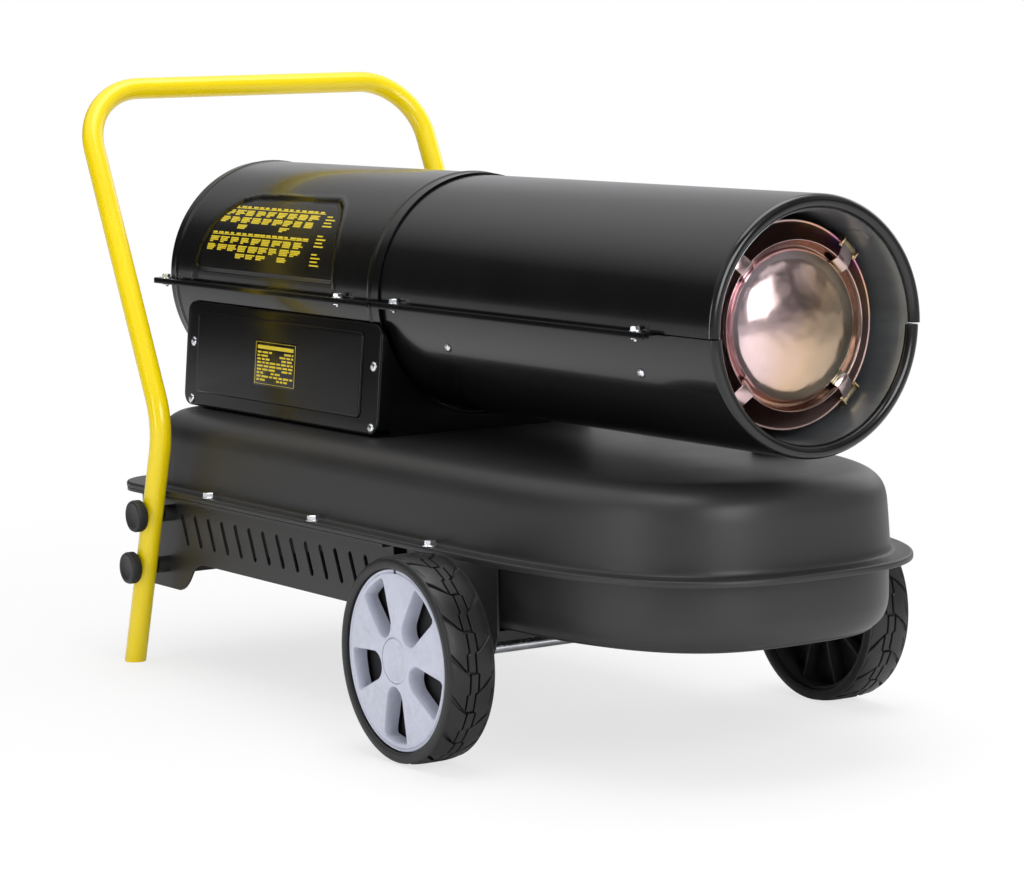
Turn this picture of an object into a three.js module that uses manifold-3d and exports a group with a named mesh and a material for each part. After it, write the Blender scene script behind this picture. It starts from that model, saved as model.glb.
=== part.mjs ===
// A wheeled forced air heater: a sheet-metal barrel in four half shells with a burner and fan inside,
// an electrical box under it, a flanged fuel tank, a louvred base, two wheels and a tube handle.
// Millimetres. +X is the way the hot air leaves, -Y the side with the rating plate, +Z up.
// Inside the script x = 0 lies at the wheel axle; the last line moves the middle of the length there.

import * as THREE from 'three';
import { mergeVertices } from 'three/addons/utils/BufferGeometryUtils.js';
import Module from 'manifold-3d';

const wasm = await Module();
wasm.setup();

// ---------------------------------------------------------------- driving dimensions (mm)

const FIT_GAP = 0.4; // between pieces that rest on each other
const RUN_GAP = 0.5; // round pieces that turn inside others

const SHEET = 1.5; // casing and tank sheet
const THICK_SHEET = 2; // base skirt
const ROUND_SIDES = 36;

const WHEEL_RADIUS = 100;
const TYRE_WIDTH = 52;
const WHEEL_CLEARANCE = 20.5; // between the tank's flange and a tyre
const HUB_RADIUS = 87.5;
const HUB_FACE_RECESS = 2.5;
const HUB_BOSS_RADIUS = 15;
const HUB_BOSS_OUT = 12; // the hub's boss, out and in from the tyre's middle
const HUB_BOSS_IN = 25;
const CAP_RADIUS = 21.5;
const AXLE_RADIUS = 6;
const COLLAR_RADIUS = 11;
const COLLAR_WIDTH = 6;

const BARREL_OVER_TANK = 16.5; // clear height between the tank and the rear casing
const SEAM_DROP = 3; // the seam lies this far under the barrel's axis
const REAR_RADIUS = 124.5;
const FRONT_UPPER_RADIUS = REAR_RADIUS - 2.3;
const FRONT_LOWER_RADIUS = FRONT_UPPER_RADIUS - 2;
const REAR_END = -708;
const JOINT_X = -262;
const JOINT_LAP = 20;
const RIM_X = 300.5;
const CURL_RADIUS = 6.5;
const LIP_WIDTH = 13;
const LIP_EDGE = 4.5;
const LIP_OVERHANG = 14;
const FRONT_LIP_END = RIM_X - 85.5;
const RIM_SEAM_GAP = 1.6;
const BEAD_HEIGHT = 1.4;
const BEAD_HALF_WIDTH = 4;
const JOINT_BEAD_X = JOINT_X - 17;
const REAR_BEAD_X = REAR_END + 16;

const LINER_GAP = 13.2; // cooling air between the casing and the liner
const LINER_RADIUS = FRONT_LOWER_RADIUS - LINER_GAP;
const LINER_START = -175;
const LINER_END = RIM_X - 10.5;
const CHAMBER_GAP = 10.5; // cooling air between the liner and the chamber
const CHAMBER_RADIUS = LINER_RADIUS - CHAMBER_GAP;
const CHAMBER_START = -190;
const CHAMBER_END = LINER_END - 35;
const CHAMBER_THROAT = 46;
const FLAME_GAP = 17.5; // the hot air's way out round the diffuser
const DIFFUSER_RADIUS = CHAMBER_RADIUS - FLAME_GAP;
const BRIM_WIDTH = 10;
const DOME_RADIUS = DIFFUSER_RADIUS - BRIM_WIDTH;
const DOME_HEIGHT = 27;
const DIFFUSER_X = CHAMBER_END + 7;
const TAB_WIDTH = 20;

const MOTOR_RADIUS = 48;
const MOTOR_START = REAR_END + 118;
const MOTOR_END = MOTOR_START + 120;
const FAN_X = MOTOR_END + 45;
const FAN_TIP_GAP = 11;
const FAN_RADIUS = REAR_RADIUS - SHEET - FAN_TIP_GAP;
const FAN_HUB_RADIUS = 30;
const FAN_HUB_LENGTH = 34;
const FAN_BLADES = 5;
const FAN_CHORD = 62;
const FAN_PITCH_DEG = 32;
const SHAFT_RADIUS = 6;
const PUMP_RADIUS = 32;
const PUMP_LENGTH = 40;
const ROTOR_RADIUS = 18;
const FILTER_DEPTH = 28;
const NOZZLE_RADIUS = 8;
const NOZZLE_START = CHAMBER_START - 50;
const GUARD_WIRE = 3.4;

const BOX_REAR = REAR_END + 53;
const BOX_FRONT = JOINT_X + 10;
const BOX_DROP = 24; // the covers' top edge, under the barrel's axis
const END_WALL_DROP = 46; // the end walls' outer corners, under the barrel's axis
const BOX_HALF_TOP = REAR_RADIUS + 1.5;
const BOX_HALF_BOTTOM = BOX_HALF_TOP + 10;
const COVER_DEPTH = 17;
const COVER_CORNER = 14;

const TANK_TOP = 277;
const FLANGE_TOP = 195.5;
const LIP_HEIGHT = 6.5;
const PAN_BOTTOM = 120;
const PAN_EDGE_RADIUS = 28;
const NOSE_START = -60; // where the tank's sides begin to curve in towards its round nose
const NOSE_POWER = 3;
const FLANGE = { rear: -714, corner: 50, half: 203, tip: 311 };
const TANK_BODY = { rear: FLANGE.rear + 24, corner: 80, half: FLANGE.half - 17, tip: FLANGE.tip - 18 };
const PAN = { rear: -130, corner: 60, half: TANK_BODY.half - 1, tip: TANK_BODY.tip - 1 };

const SKIRT_HALF = FLANGE.half - 13;
const SKIRT_FRONT = PAN.rear - 5;
const SKIRT_REAR = FLANGE.rear + 24;
const SKIRT_CORNER = 34;
const SKIRT_BOTTOM = 118;
const FOOT_BOTTOM = 84;
const FOOT_FRONT = SKIRT_REAR + 108;
const SKIRT_FLANGE_THICKNESS = 3.2;
const SLOT_COUNT = 14;
const SLOT_FIRST_X = FOOT_FRONT + 15;
const SLOT_PITCH = 29.5;
const SLOT_HEIGHT = 153;
const SLOT_LENGTH = 37;
const SLOT_WIDTH = 5;
const SLOT_LEAN_DEG = 23;

const TUBE_RADIUS = 11.7;
const TUBE_WALL = 1.5;
const LEG_GAP = 1.3; // between the tank's flange and a leg
const LEG_SPREAD = FLANGE.half + LEG_GAP + TUBE_RADIUS; // from the middle to a leg's centre line
const LEG_FOOT_X = SKIRT_REAR + 47;
const LEG_BEND = { x: -562.5, z: 269 };
const LEG_BEND_RADIUS = 85;
const CROSSBAR = { x: -735, z: 628 };
const CROSSBAR_RADIUS = 72;

const KNOB_RADIUS = 17;
const KNOB_DEPTH = 13;
const STUD_RADIUS = 4;
const KNOB_HEIGHTS = [169, 110];

const FILLER = { x: 90, y: 116 };
const FILLER_RADIUS = 20;
const CAP_GRIP_RADIUS = 26;
const CAP_HEIGHT = 18;
const GAUGE = { x: -120, y: 128 };
const PICKUP = { x: -430, y: -70 };

// ---------------------------------------------------------------- shape helpers

// A clean copy of a geometry: positions only, shared corners merged, faces outwards.
function clean(geometry) {
  const bare = new THREE.BufferGeometry();
  bare.setAttribute('position', geometry.getAttribute('position'));
  bare.setIndex(geometry.index);
  const merged = mergeVertices(bare, 1e-4);
  const index = merged.index.array;
  const kept = [];
  for (let i = 0; i < index.length; i += 3) {
    const [a, b, c] = [index[i], index[i + 1], index[i + 2]];
    if (a !== b && b !== c && c !== a) kept.push(a, b, c);
  }
  merged.setIndex(volumeOf(merged, kept) < 0 ? kept.reverse() : kept);
  return merged;
}

function volumeOf(geometry, index) {
  const at = geometry.getAttribute('position');
  const corner = [0, 1, 2].map(() => new THREE.Vector3());
  let sum = 0;
  for (let i = 0; i < index.length; i += 3) {
    corner.forEach((point, k) => point.fromBufferAttribute(at, index[i + k]));
    sum += corner[0].dot(corner[1].clone().cross(corner[2]));
  }
  return sum / 6;
}

function solid(geometry) {
  const shape = clean(geometry);
  return new wasm.Manifold(new wasm.Mesh({
    numProp: 3,
    vertProperties: new Float32Array(shape.getAttribute('position').array),
    triVerts: new Uint32Array(shape.index.array),
  }));
}

function geometryOf(body) {
  const mesh = body.getMesh();
  const geometry = new THREE.BufferGeometry();
  geometry.setAttribute('position', new THREE.BufferAttribute(mesh.vertProperties.slice(), 3));
  geometry.setIndex([...mesh.triVerts]);
  return geometry;
}

function join(...geometries) {
  return geometryOf(geometries.map(solid).reduce((sum, next) => sum.add(next)));
}

function cut(geometry, ...tools) {
  return geometryOf(tools.map(solid).reduce((rest, next) => rest.subtract(next), solid(geometry)));
}

function common(first, second) {
  return geometryOf(solid(first).intersect(solid(second)));
}

function box(x0, x1, y0, y1, z0, z1) {
  const geometry = new THREE.BoxGeometry(x1 - x0, y1 - y0, z1 - z0);
  return geometry.translate((x0 + x1) / 2, (y0 + y1) / 2, (z0 + z1) / 2);
}

// Turned shapes. A profile is a list of [radius, place along the axis].
function turned(profile, sides, flatDown = false) {
  const points = profile.map(([r, t]) => new THREE.Vector2(r, t));
  const first = points[0];
  const last = points[points.length - 1];
  if (first.x > 0 || last.x > 0) points.push(first.clone());
  const start = flatDown ? Math.PI / sides : 0;
  return clean(new THREE.LatheGeometry(points, sides, start, 2 * Math.PI));
}

function turnedX(profile, sides = ROUND_SIDES) {
  return turned(profile, sides).rotateZ(-Math.PI / 2);
}

function turnedY(profile, sides = ROUND_SIDES, flatDown = false) {
  return turned(profile, sides, flatDown);
}

function turnedZ(profile, sides = ROUND_SIDES) {
  return turned(profile, sides).rotateX(Math.PI / 2);
}

function rodX(radius, x0, x1, sides = 12) {
  return turnedX([[0, x0], [radius, x0], [radius, x1], [0, x1]], sides);
}

function rodY(radius, y0, y1, sides = 12) {
  return turnedY([[0, y0], [radius, y0], [radius, y1], [0, y1]], sides);
}

function rodZ(radius, z0, z1, sides = 12) {
  return turnedZ([[0, z0], [radius, z0], [radius, z1], [0, z1]], sides);
}

// Flat outlines. A list of [a, b] points becomes a plate along one of the axes.
function outlineShape(points, holes = []) {
  const shape = new THREE.Shape(points.map(([a, b]) => new THREE.Vector2(a, b)));
  for (const hole of holes) shape.holes.push(new THREE.Path(hole.map(([a, b]) => new THREE.Vector2(a, b))));
  return shape;
}

function extruded(shape, depth) {
  return new THREE.ExtrudeGeometry(shape, { depth, bevelEnabled: false, curveSegments: 6 });
}

function placed(geometry, xAxis, yAxis, zAxis, origin) {
  const matrix = new THREE.Matrix4().makeBasis(
    new THREE.Vector3(...xAxis), new THREE.Vector3(...yAxis), new THREE.Vector3(...zAxis));
  return geometry.applyMatrix4(matrix.setPosition(...origin));
}

function plateX(points, x0, x1, holes = []) {
  const flat = extruded(outlineShape(points, holes), x1 - x0);
  return placed(flat, [0, 1, 0], [0, 0, 1], [1, 0, 0], [x0, 0, 0]);
}

function plateY(points, y0, y1, holes = []) {
  const flat = extruded(outlineShape(points, holes), y1 - y0);
  return placed(flat, [1, 0, 0], [0, 0, 1], [0, -1, 0], [0, y1, 0]);
}

function plateZ(points, z0, z1, holes = []) {
  return extruded(outlineShape(points, holes), z1 - z0).translate(0, 0, z0);
}

function arcPoints(cx, cy, radius, fromDeg, toDeg, steps) {
  return Array.from({ length: steps + 1 }, (_, i) => {
    const angle = THREE.MathUtils.degToRad(fromDeg + (toDeg - fromDeg) * i / steps);
    return [cx + radius * Math.cos(angle), cy + radius * Math.sin(angle)];
  });
}

function roundedBox(x0, x1, y0, y1, radius, steps = 3) {
  return [
    ...arcPoints(x1 - radius, y0 + radius, radius, -90, 0, steps),
    ...arcPoints(x1 - radius, y1 - radius, radius, 0, 90, steps),
    ...arcPoints(x0 + radius, y1 - radius, radius, 90, 180, steps),
    ...arcPoints(x0 + radius, y0 + radius, radius, 180, 270, steps),
  ];
}

// A path through chosen points, followed exactly by an extrusion with one step per point.
class PointPath extends THREE.Curve {
  constructor(points) {
    super();
    this.points = points;
  }

  getPoint(t, target = new THREE.Vector3()) {
    const spans = this.points.length - 1;
    const i = Math.min(Math.floor(t * spans + 1e-6), spans - 1);
    return target.lerpVectors(this.points[i], this.points[i + 1], t * spans - i);
  }

  getPointAt(u, target) {
    return this.getPoint(u, target);
  }

  getTangentAt(u, target = new THREE.Vector3()) {
    const i = Math.round(u * (this.points.length - 1));
    const before = this.points[Math.max(i - 1, 0)];
    const here = this.points[i];
    const after = this.points[Math.min(i + 1, this.points.length - 1)];
    const arriving = here.clone().sub(before).normalize();
    const leaving = after.clone().sub(here).normalize();
    return target.addVectors(arriving, leaving).normalize();
  }
}

function swept(points, shape) {
  const path = new PointPath(points);
  return clean(new THREE.ExtrudeGeometry(shape, { steps: points.length - 1, extrudePath: path }));
}

function roundSection(radius, sides) {
  return outlineShape(arcPoints(0, 0, radius, 0, 360 - 360 / sides, sides - 1));
}

function tubeSection(radius, wall, sides, boreSides) {
  return outlineShape(
    arcPoints(0, 0, radius, 0, 360 - 360 / sides, sides - 1),
    [arcPoints(0, 0, radius - wall, 0, 360 - 360 / boreSides, boreSides - 1)]);
}

// The points of a bent line: each inner corner is rounded with its own radius.
function bentLine(corners, radii, steps) {
  const points = [corners[0].clone()];
  for (let i = 1; i < corners.length - 1; i += 1) {
    const back = corners[i - 1].clone().sub(corners[i]).normalize();
    const on = corners[i + 1].clone().sub(corners[i]).normalize();
    const half = back.angleTo(on) / 2;
    const reach = radii[i - 1] / Math.tan(half);
    const middle = back.clone().add(on).normalize();
    const centre = corners[i].clone().addScaledVector(middle, radii[i - 1] / Math.sin(half));
    const start = corners[i].clone().addScaledVector(back, reach).sub(centre);
    const turn = Math.PI - 2 * half;
    const axis = start.clone().cross(corners[i].clone().addScaledVector(on, reach).sub(centre)).normalize();
    for (let k = 0; k <= steps; k += 1) {
      points.push(start.clone().applyAxisAngle(axis, turn * k / steps).add(centre));
    }
  }
  points.push(corners[corners.length - 1].clone());
  return points;
}

// A closed skin through rings of points, each ring the same count, fanned shut at both ends.
function ringSkin(rings, firstCentre, lastCentre) {
  const count = rings[0].length;
  const points = [...rings.flat(), firstCentre, lastCentre];
  const index = [];
  for (let ring = 0; ring < rings.length - 1; ring += 1) {
    for (let i = 0; i < count; i += 1) {
      const a = ring * count + i;
      const b = ring * count + (i + 1) % count;
      index.push(a, b, b + count, a, b + count, a + count);
    }
  }
  const last = (rings.length - 1) * count;
  for (let i = 0; i < count; i += 1) {
    const next = (i + 1) % count;
    index.push(points.length - 2, next, i, last + i, last + next, points.length - 1);
  }
  const geometry = new THREE.BufferGeometry().setFromPoints(points);
  geometry.setIndex(index);
  return clean(geometry);
}

function paint(color, roughness, metalness) {
  return new THREE.MeshStandardMaterial({ color, roughness, metalness });
}

const glossBlack = () => paint(0x141414, 0.3, 0.2);
const satinBlack = () => paint(0x262729, 0.5, 0.2);
const zinc = () => paint(0xc9ccd0, 0.3, 1);
const rubber = () => paint(0x1b1b1b, 0.85, 0);
const blackPlastic = () => paint(0x17181a, 0.55, 0);
const palePlastic = () => paint(0xc4c8dc, 0.45, 0);
const greySteel = () => paint(0x7c8284, 0.4, 1);
const tintedSteel = () => paint(0xb09088, 0.25, 1);
const brass = () => paint(0xb59a55, 0.35, 1);
const aluminium = () => paint(0xa9acb0, 0.4, 1);
const yellowPaint = () => paint(0xffdd00, 0.25, 0.1);

function piece(name, geometry, material) {
  const mesh = new THREE.Mesh(clean(geometry), material);
  mesh.name = name;
  return mesh;
}

function at(mesh, x, y, z) {
  mesh.position.set(x, y, z);
  return mesh;
}

function group(...children) {
  const parent = new THREE.Group();
  if (children.length) parent.add(...children);
  return parent;
}

function bothSides(make) {
  return [-1, 1].flatMap((side) => make(side));
}

// The two y values of a span that lies so far out on the near (-1) or the far (1) side.
function between(side, inner, outer) {
  return side < 0 ? [-outer, -inner] : [inner, outer];
}

// ---------------------------------------------------------------- values worked out from the above

const SEAM = -SEAM_DROP; // from the barrel's axis
const BARREL_AXIS_HEIGHT = TANK_TOP + BARREL_OVER_TANK + REAR_RADIUS;
const BOX_TOP = BARREL_AXIS_HEIGHT - BOX_DROP;
const END_WALL_TOP = BARREL_AXIS_HEIGHT - END_WALL_DROP;
const BEYOND = 900; // further out than anything, for cutters
const COVER_TILT = Math.atan2(BOX_HALF_BOTTOM - BOX_HALF_TOP, BOX_TOP - TANK_TOP);
const COVER_FOOT = TANK_TOP + FIT_GAP + COVER_DEPTH * Math.sin(COVER_TILT);
const COVER_HEIGHT = (BOX_TOP - COVER_FOOT) / Math.cos(COVER_TILT);
const LIP_BOTTOM = FLANGE_TOP - LIP_HEIGHT;
const SKIRT_TOP = LIP_BOTTOM - FIT_GAP;
const LEG_LEAN = (LEG_BEND.x - LEG_FOOT_X) / LEG_BEND.z;
const TYRE_MIDDLE = FLANGE.half + WHEEL_CLEARANCE + TYRE_WIDTH / 2;
const BRACKET_FACE = PAN.half + FIT_GAP;
const BRACKET_SHEET = 2.5;
const BODY_REAR = BOX_REAR + 2;
const BODY_FRONT = BOX_FRONT - 2;
const BODY_FLOOR = TANK_TOP + FIT_GAP;
const FLOOR_HALF = BOX_HALF_BOTTOM - COVER_DEPTH - 1;
const BOLT_Y = FLANGE.half - 6.5;
const SKIRT_BOLTS_X = [-499, -279];
const BRACKET_BOLT_X = -57;
const SEAM_SCREWS_X = [REAR_END + 5, JOINT_X - 68, JOINT_X + 36, RIM_X - 108.5];
const RADIAL_SCREWS_X = [JOINT_X + 113, RIM_X - 120.5];
const RADIAL_ANGLE_DEG = 20.5; // under the horizontal
const SCREW_RADIUS = 2.4;
const SCREW_HOLE = SCREW_RADIUS + 0.8;
const BOLT_RADIUS = 3;
const STUD_HOLE = STUD_RADIUS + 1; // the circle through a hexagonal facet hole's corners
const BOLT_HOLE = BOLT_RADIUS + 0.9;
const HOSE_RADIUS = 3;
const HOSE_HOLE = HOSE_RADIUS + 3;
const ENTRY_X = JOINT_X - 56; // where the hoses and the lead enter the barrel
const AIR_PORT = { x: MOTOR_START - 25, y: 40 };
const AIR_ENTRY = { x: ENTRY_X, y: 30 };
const FUEL_ENTRY = { x: ENTRY_X, y: -30 };
const LEAD_ENTRY = { x: ENTRY_X, y: 62 };

const SIDE_NAMES = { '-1': 'near', 1: 'far' };

function legX(z) {
  return LEG_FOOT_X + LEG_LEAN * z;
}

// ---------------------------------------------------------------- barrel casings

// One half of a casing: the turned sheet cut at the seam, with a lip along each side.
function casingHalf(profile, upper, radius, lipStart, lipEnd, seamGap) {
  const away = upper
    ? box(-BEYOND, BEYOND, -BEYOND, BEYOND, -BEYOND, SEAM + seamGap / 2)
    : box(-BEYOND, BEYOND, -BEYOND, BEYOND, SEAM - seamGap / 2, BEYOND);
  const half = cut(turnedX(profile), away);
  const root = radius - SHEET / 2;
  const edge = radius + LIP_WIDTH;
  const top = SEAM + SHEET + FIT_GAP / 2;
  const bottom = SEAM - SHEET - FIT_GAP / 2;
  const inner = edge - SHEET;
  const section = upper
    ? [[root, SEAM + FIT_GAP / 2], [inner, SEAM + FIT_GAP / 2], [inner, SEAM - LIP_EDGE],
      [edge, SEAM - LIP_EDGE], [edge, top], [root, top]]
    : [[root, bottom], [inner - FIT_GAP, bottom], [inner - FIT_GAP, SEAM - FIT_GAP / 2],
      [root, SEAM - FIT_GAP / 2]];
  const lips = bothSides((side) => [plateX(section.map(([y, z]) => [side * y, z]), lipStart, lipEnd)]);
  return join(half, ...lips);
}

function rearProfile() {
  const outer = REAR_RADIUS;
  const inner = REAR_RADIUS - SHEET;
  const bead = (x) => [
    [outer, x - BEAD_HALF_WIDTH], [outer + BEAD_HEIGHT, x], [outer, x + BEAD_HALF_WIDTH],
  ];
  return [
    [inner - 2, REAR_END], [outer - 2, REAR_END], [outer, REAR_END + 2],
    ...bead(REAR_BEAD_X), ...bead(JOINT_BEAD_X),
    [outer, JOINT_X], [inner, JOINT_X], [inner, REAR_END + 3],
  ];
}

function frontProfile(radius) {
  const centre = RIM_X - CURL_RADIUS;
  const curl = (r, from, to, steps) => arcPoints(centre, radius - CURL_RADIUS, r, from, to, steps)
    .map(([x, y]) => [y, x]);
  return [
    [radius - SHEET, JOINT_X - JOINT_LAP], [radius, JOINT_X - JOINT_LAP],
    ...curl(CURL_RADIUS, 90, -90, 5),
    ...curl(CURL_RADIUS - SHEET, -90, 90, 2),
  ];
}

// The shallow pressed field for the instruction plate, on the near side of the rear upper casing.
const FIELD_OUTLINE = [
  [-655, -1], [-648, 37], [-637, 60], [-622, 76], [-600, 88], [-572, 93],
  [-404, 95], [-386, 88], [-374, 76], [-358, 44], [-346, -1],
];
const FIELD_DEPTH = 1;

function fieldTool(inner, outer) {
  const band = turnedX([[inner, REAR_END], [outer, REAR_END], [outer, JOINT_X], [inner, JOINT_X]]);
  return common(band, plateY(FIELD_OUTLINE, -REAR_RADIUS - 5, -50));
}

function rearUpperCasing() {
  const lipStart = REAR_END - LIP_OVERHANG;
  const half = casingHalf(rearProfile(), true, REAR_RADIUS, lipStart, JOINT_X, FIT_GAP);
  const inner = REAR_RADIUS - SHEET;
  const backed = join(half, fieldTool(inner - FIELD_DEPTH, inner + SHEET / 2));
  const pressed = cut(backed, fieldTool(REAR_RADIUS - FIELD_DEPTH, REAR_RADIUS + 4));
  return join(pressed, ...seamScrews(true));
}

// Calls make(x, y) for each seam screw of the rear or the front casings.
function atSeamScrews(rear, make) {
  const radius = rear ? REAR_RADIUS : FRONT_LOWER_RADIUS;
  const y = radius + LIP_WIDTH / 2 + 0.6;
  const places = SEAM_SCREWS_X.filter((x) => (x < JOINT_X) === rear);
  return bothSides((side) => places.map((x) => make(x, side * y)));
}

function seamHoles(rear) {
  return atSeamScrews(rear, (x, y) => rodZ(SCREW_HOLE, SEAM - 12, SEAM + 12, 6).translate(x, y, 0));
}

// The screws go with the upper casings and pass through holes in the lower lips to their nuts.
function seamScrews(rear) {
  const top = SEAM + SHEET - 0.2;
  const nutTop = -2 * SHEET - FIT_GAP * 2;
  return atSeamScrews(rear, (x, y) => hexBolt(SCREW_RADIUS, 4.6, -11, nutTop).translate(x, y, top));
}

function rearLowerCasing() {
  const lipStart = REAR_END - LIP_OVERHANG;
  const half = casingHalf(rearProfile(), false, REAR_RADIUS, lipStart, JOINT_X, FIT_GAP);
  const holes = [AIR_PORT, AIR_ENTRY, FUEL_ENTRY, LEAD_ENTRY].map(({ x, y }) => (
    rodZ(HOSE_HOLE, -REAR_RADIUS - 5, -60, 8).translate(x, y, 0)));
  return cut(half, ...seamHoles(true), ...holes);
}

function frontUpperCasing() {
  const profile = frontProfile(FRONT_UPPER_RADIUS);
  const start = JOINT_X + FIT_GAP;
  const half = casingHalf(profile, true, FRONT_UPPER_RADIUS, start, FRONT_LIP_END, RIM_SEAM_GAP);
  return join(half, ...seamScrews(false));
}

function radialPlaces() {
  return bothSides((side) => RADIAL_SCREWS_X.map((x) => ({ x, side })));
}

// A rod that stands on the barrel's axis and points out at the radial screws' angle.
function radialRod(radius, from, to, { x, side }, sides = 6) {
  const angle = THREE.MathUtils.degToRad(RADIAL_ANGLE_DEG);
  const rod = rodZ(radius, from, to, sides);
  rod.rotateX(side < 0 ? Math.PI / 2 + angle : -Math.PI / 2 - angle);
  return rod.translate(x, 0, 0);
}

function frontLowerCasing() {
  const profile = frontProfile(FRONT_LOWER_RADIUS);
  const start = JOINT_X + FIT_GAP;
  const half = casingHalf(profile, false, FRONT_LOWER_RADIUS, start, FRONT_LIP_END - 2, RIM_SEAM_GAP);
  return join(cut(half, ...seamHoles(false)), ...radialScrews());
}

// The screws through the lower casing that hold the liner's posts.
function radialScrews() {
  const angle = THREE.MathUtils.degToRad(RADIAL_ANGLE_DEG);
  return radialPlaces().map(({ x, side }) => {
    const screw = panScrew(10).translate(0, 0, FRONT_LOWER_RADIUS - 0.2);
    screw.rotateX(side < 0 ? Math.PI / 2 + angle : -Math.PI / 2 - angle);
    return screw.translate(x, 0, 0);
  });
}

// A wire guard: rings on six radial wires, inside the rear end.
function rearGrille() {
  const outer = REAR_RADIUS - SHEET - 1;
  const x = REAR_END + 4;
  const ringAt = (radius) => turnedX([
    [radius - GUARD_WIRE, x], [radius, x], [radius, x + GUARD_WIRE], [radius - GUARD_WIRE, x + GUARD_WIRE],
  ], 18);
  const rings = [1, 0.7, 0.4].map((share) => ringAt(outer * share));
  const wires = [0, 60, 120].map((deg) => (
    box(x, x + GUARD_WIRE, -outer + 2, outer - 2, -GUARD_WIRE / 2, GUARD_WIRE / 2)
      .rotateX(THREE.MathUtils.degToRad(deg))));
  return join(...rings, ...wires);
}

// ---------------------------------------------------------------- burner

function innerLiner() {
  const inner = LINER_RADIUS - SHEET;
  const tube = turnedX([
    [inner, LINER_START], [LINER_RADIUS, LINER_START], [LINER_RADIUS, LINER_END], [inner, LINER_END],
  ]);
  const reach = FRONT_LOWER_RADIUS - SHEET - 1;
  const posts = radialPlaces().map((place) => radialRod(6, LINER_RADIUS - 1, reach, place));
  const holes = radialPlaces().map((place) => radialRod(SCREW_HOLE, LINER_RADIUS - 5, reach + 5, place));
  return cut(join(tube, ...posts), ...holes);
}

function combustionChamber() {
  const inner = CHAMBER_RADIUS - SHEET;
  const tube = turnedX([
    [CHAMBER_THROAT, CHAMBER_START - 10], [CHAMBER_RADIUS, CHAMBER_START], [CHAMBER_RADIUS, CHAMBER_END],
    [inner, CHAMBER_END], [inner, CHAMBER_START + SHEET], [CHAMBER_THROAT, CHAMBER_START - 10 + SHEET],
  ], 24);
  const reach = LINER_RADIUS - SHEET - FIT_GAP - 0.4;
  const feet = [-120, 160].flatMap((x) => [90, 210, 330].map((deg) => (
    box(x - 9, x + 9, -8, 8, inner + 0.5, reach).rotateX(THREE.MathUtils.degToRad(deg)))));
  return join(tube, ...feet);
}

const TAB_ANGLES_DEG = [45, 135, 225, 315];

function diffuserProfile() {
  const back = SHEET;
  const dome = [];
  const steps = 4;
  for (let i = 0; i <= steps; i += 1) {
    const angle = (Math.PI / 2) * i / steps;
    dome.push([DOME_RADIUS * Math.sin(angle), DIFFUSER_X - 4 + DOME_HEIGHT * Math.cos(angle)]);
  }
  const inner = dome.map(([r, x]) => [Math.max(r - back, 0), x - back]).reverse();
  return [...dome, [DOME_RADIUS + 3, DIFFUSER_X - 4], [DIFFUSER_RADIUS, DIFFUSER_X + 4],
    [DIFFUSER_RADIUS, DIFFUSER_X + 4 - back], [DOME_RADIUS + 4, DIFFUSER_X - 4 - back],
    ...inner];
}

// The domed plate with four tabs that reach the tube's edge.
function flameDiffuser() {
  const dome = turnedX(diffuserProfile(), 20);
  const tabs = TAB_ANGLES_DEG.map((deg) => {
    const side = [
      [DIFFUSER_X + 1, DOME_RADIUS + 2], [DIFFUSER_X + 3.5, DIFFUSER_RADIUS],
      [CHAMBER_END + 2.2, CHAMBER_RADIUS + 3], [CHAMBER_END + 0.5, CHAMBER_RADIUS + 3],
      [DIFFUSER_X + 1.5, DIFFUSER_RADIUS - 1], [DIFFUSER_X - 1, DOME_RADIUS + 2],
    ];
    return plateY(side, -TAB_WIDTH / 2, TAB_WIDTH / 2).rotateX(THREE.MathUtils.degToRad(deg));
  });
  return join(dome, ...tabs, ...diffuserClips());
}

// Folded clips riveted to the tabs: each hooks over the tube's edge from outside.
function diffuserClips() {
  const clip = [
    [CHAMBER_END + 3, CHAMBER_RADIUS - 4], [CHAMBER_END + 4.5, CHAMBER_RADIUS - 4],
    [CHAMBER_END + 4.5, CHAMBER_RADIUS + 2.5], [CHAMBER_END - 10, CHAMBER_RADIUS + 2.5],
    [CHAMBER_END - 10, CHAMBER_RADIUS + 1], [CHAMBER_END + 3, CHAMBER_RADIUS + 1],
  ];
  return TAB_ANGLES_DEG.map((deg) => (
    plateY(clip, -TAB_WIDTH / 2 - 1, TAB_WIDTH / 2 + 1).rotateX(THREE.MathUtils.degToRad(deg))));
}

const HEAD_X = CHAMBER_START - 8;
const ELECTRODE = { y: 20, z: 14 };
const SENSOR = { y: -22, z: 18 };

// The swirl plate in the chamber's throat, with a collar that holds the nozzle.
function burnerHead() {
  const radius = CHAMBER_THROAT - FIT_GAP;
  const bore = NOZZLE_RADIUS + FIT_GAP;
  const disc = turnedX([
    [bore, HEAD_X - 26], [bore + 3, HEAD_X - 26], [bore + 3, HEAD_X], [radius, HEAD_X],
    [radius, HEAD_X + 2], [bore, HEAD_X + 2],
  ], 20);
  const slots = Array.from({ length: 6 }, (_, i) => {
    const turn = THREE.MathUtils.degToRad(60 * i + 20);
    return box(HEAD_X - 2, HEAD_X + 4, -2, 2, 30, 42).rotateX(turn);
  });
  const ports = [[ELECTRODE, 4.5], [SENSOR, 4]].map(([at, r]) => (
    rodX(r, HEAD_X - 3, HEAD_X + 5, 12).translate(0, at.y, at.z)));
  return cut(disc, ...slots, ...ports);
}

function fuelNozzle() {
  return turnedX([
    [0, NOZZLE_START], [5, NOZZLE_START], [5, NOZZLE_START + 8], [NOZZLE_RADIUS, NOZZLE_START + 8],
    [NOZZLE_RADIUS, HEAD_X + 4], [3, HEAD_X + 9], [0, HEAD_X + 9],
  ], 16);
}

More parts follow.
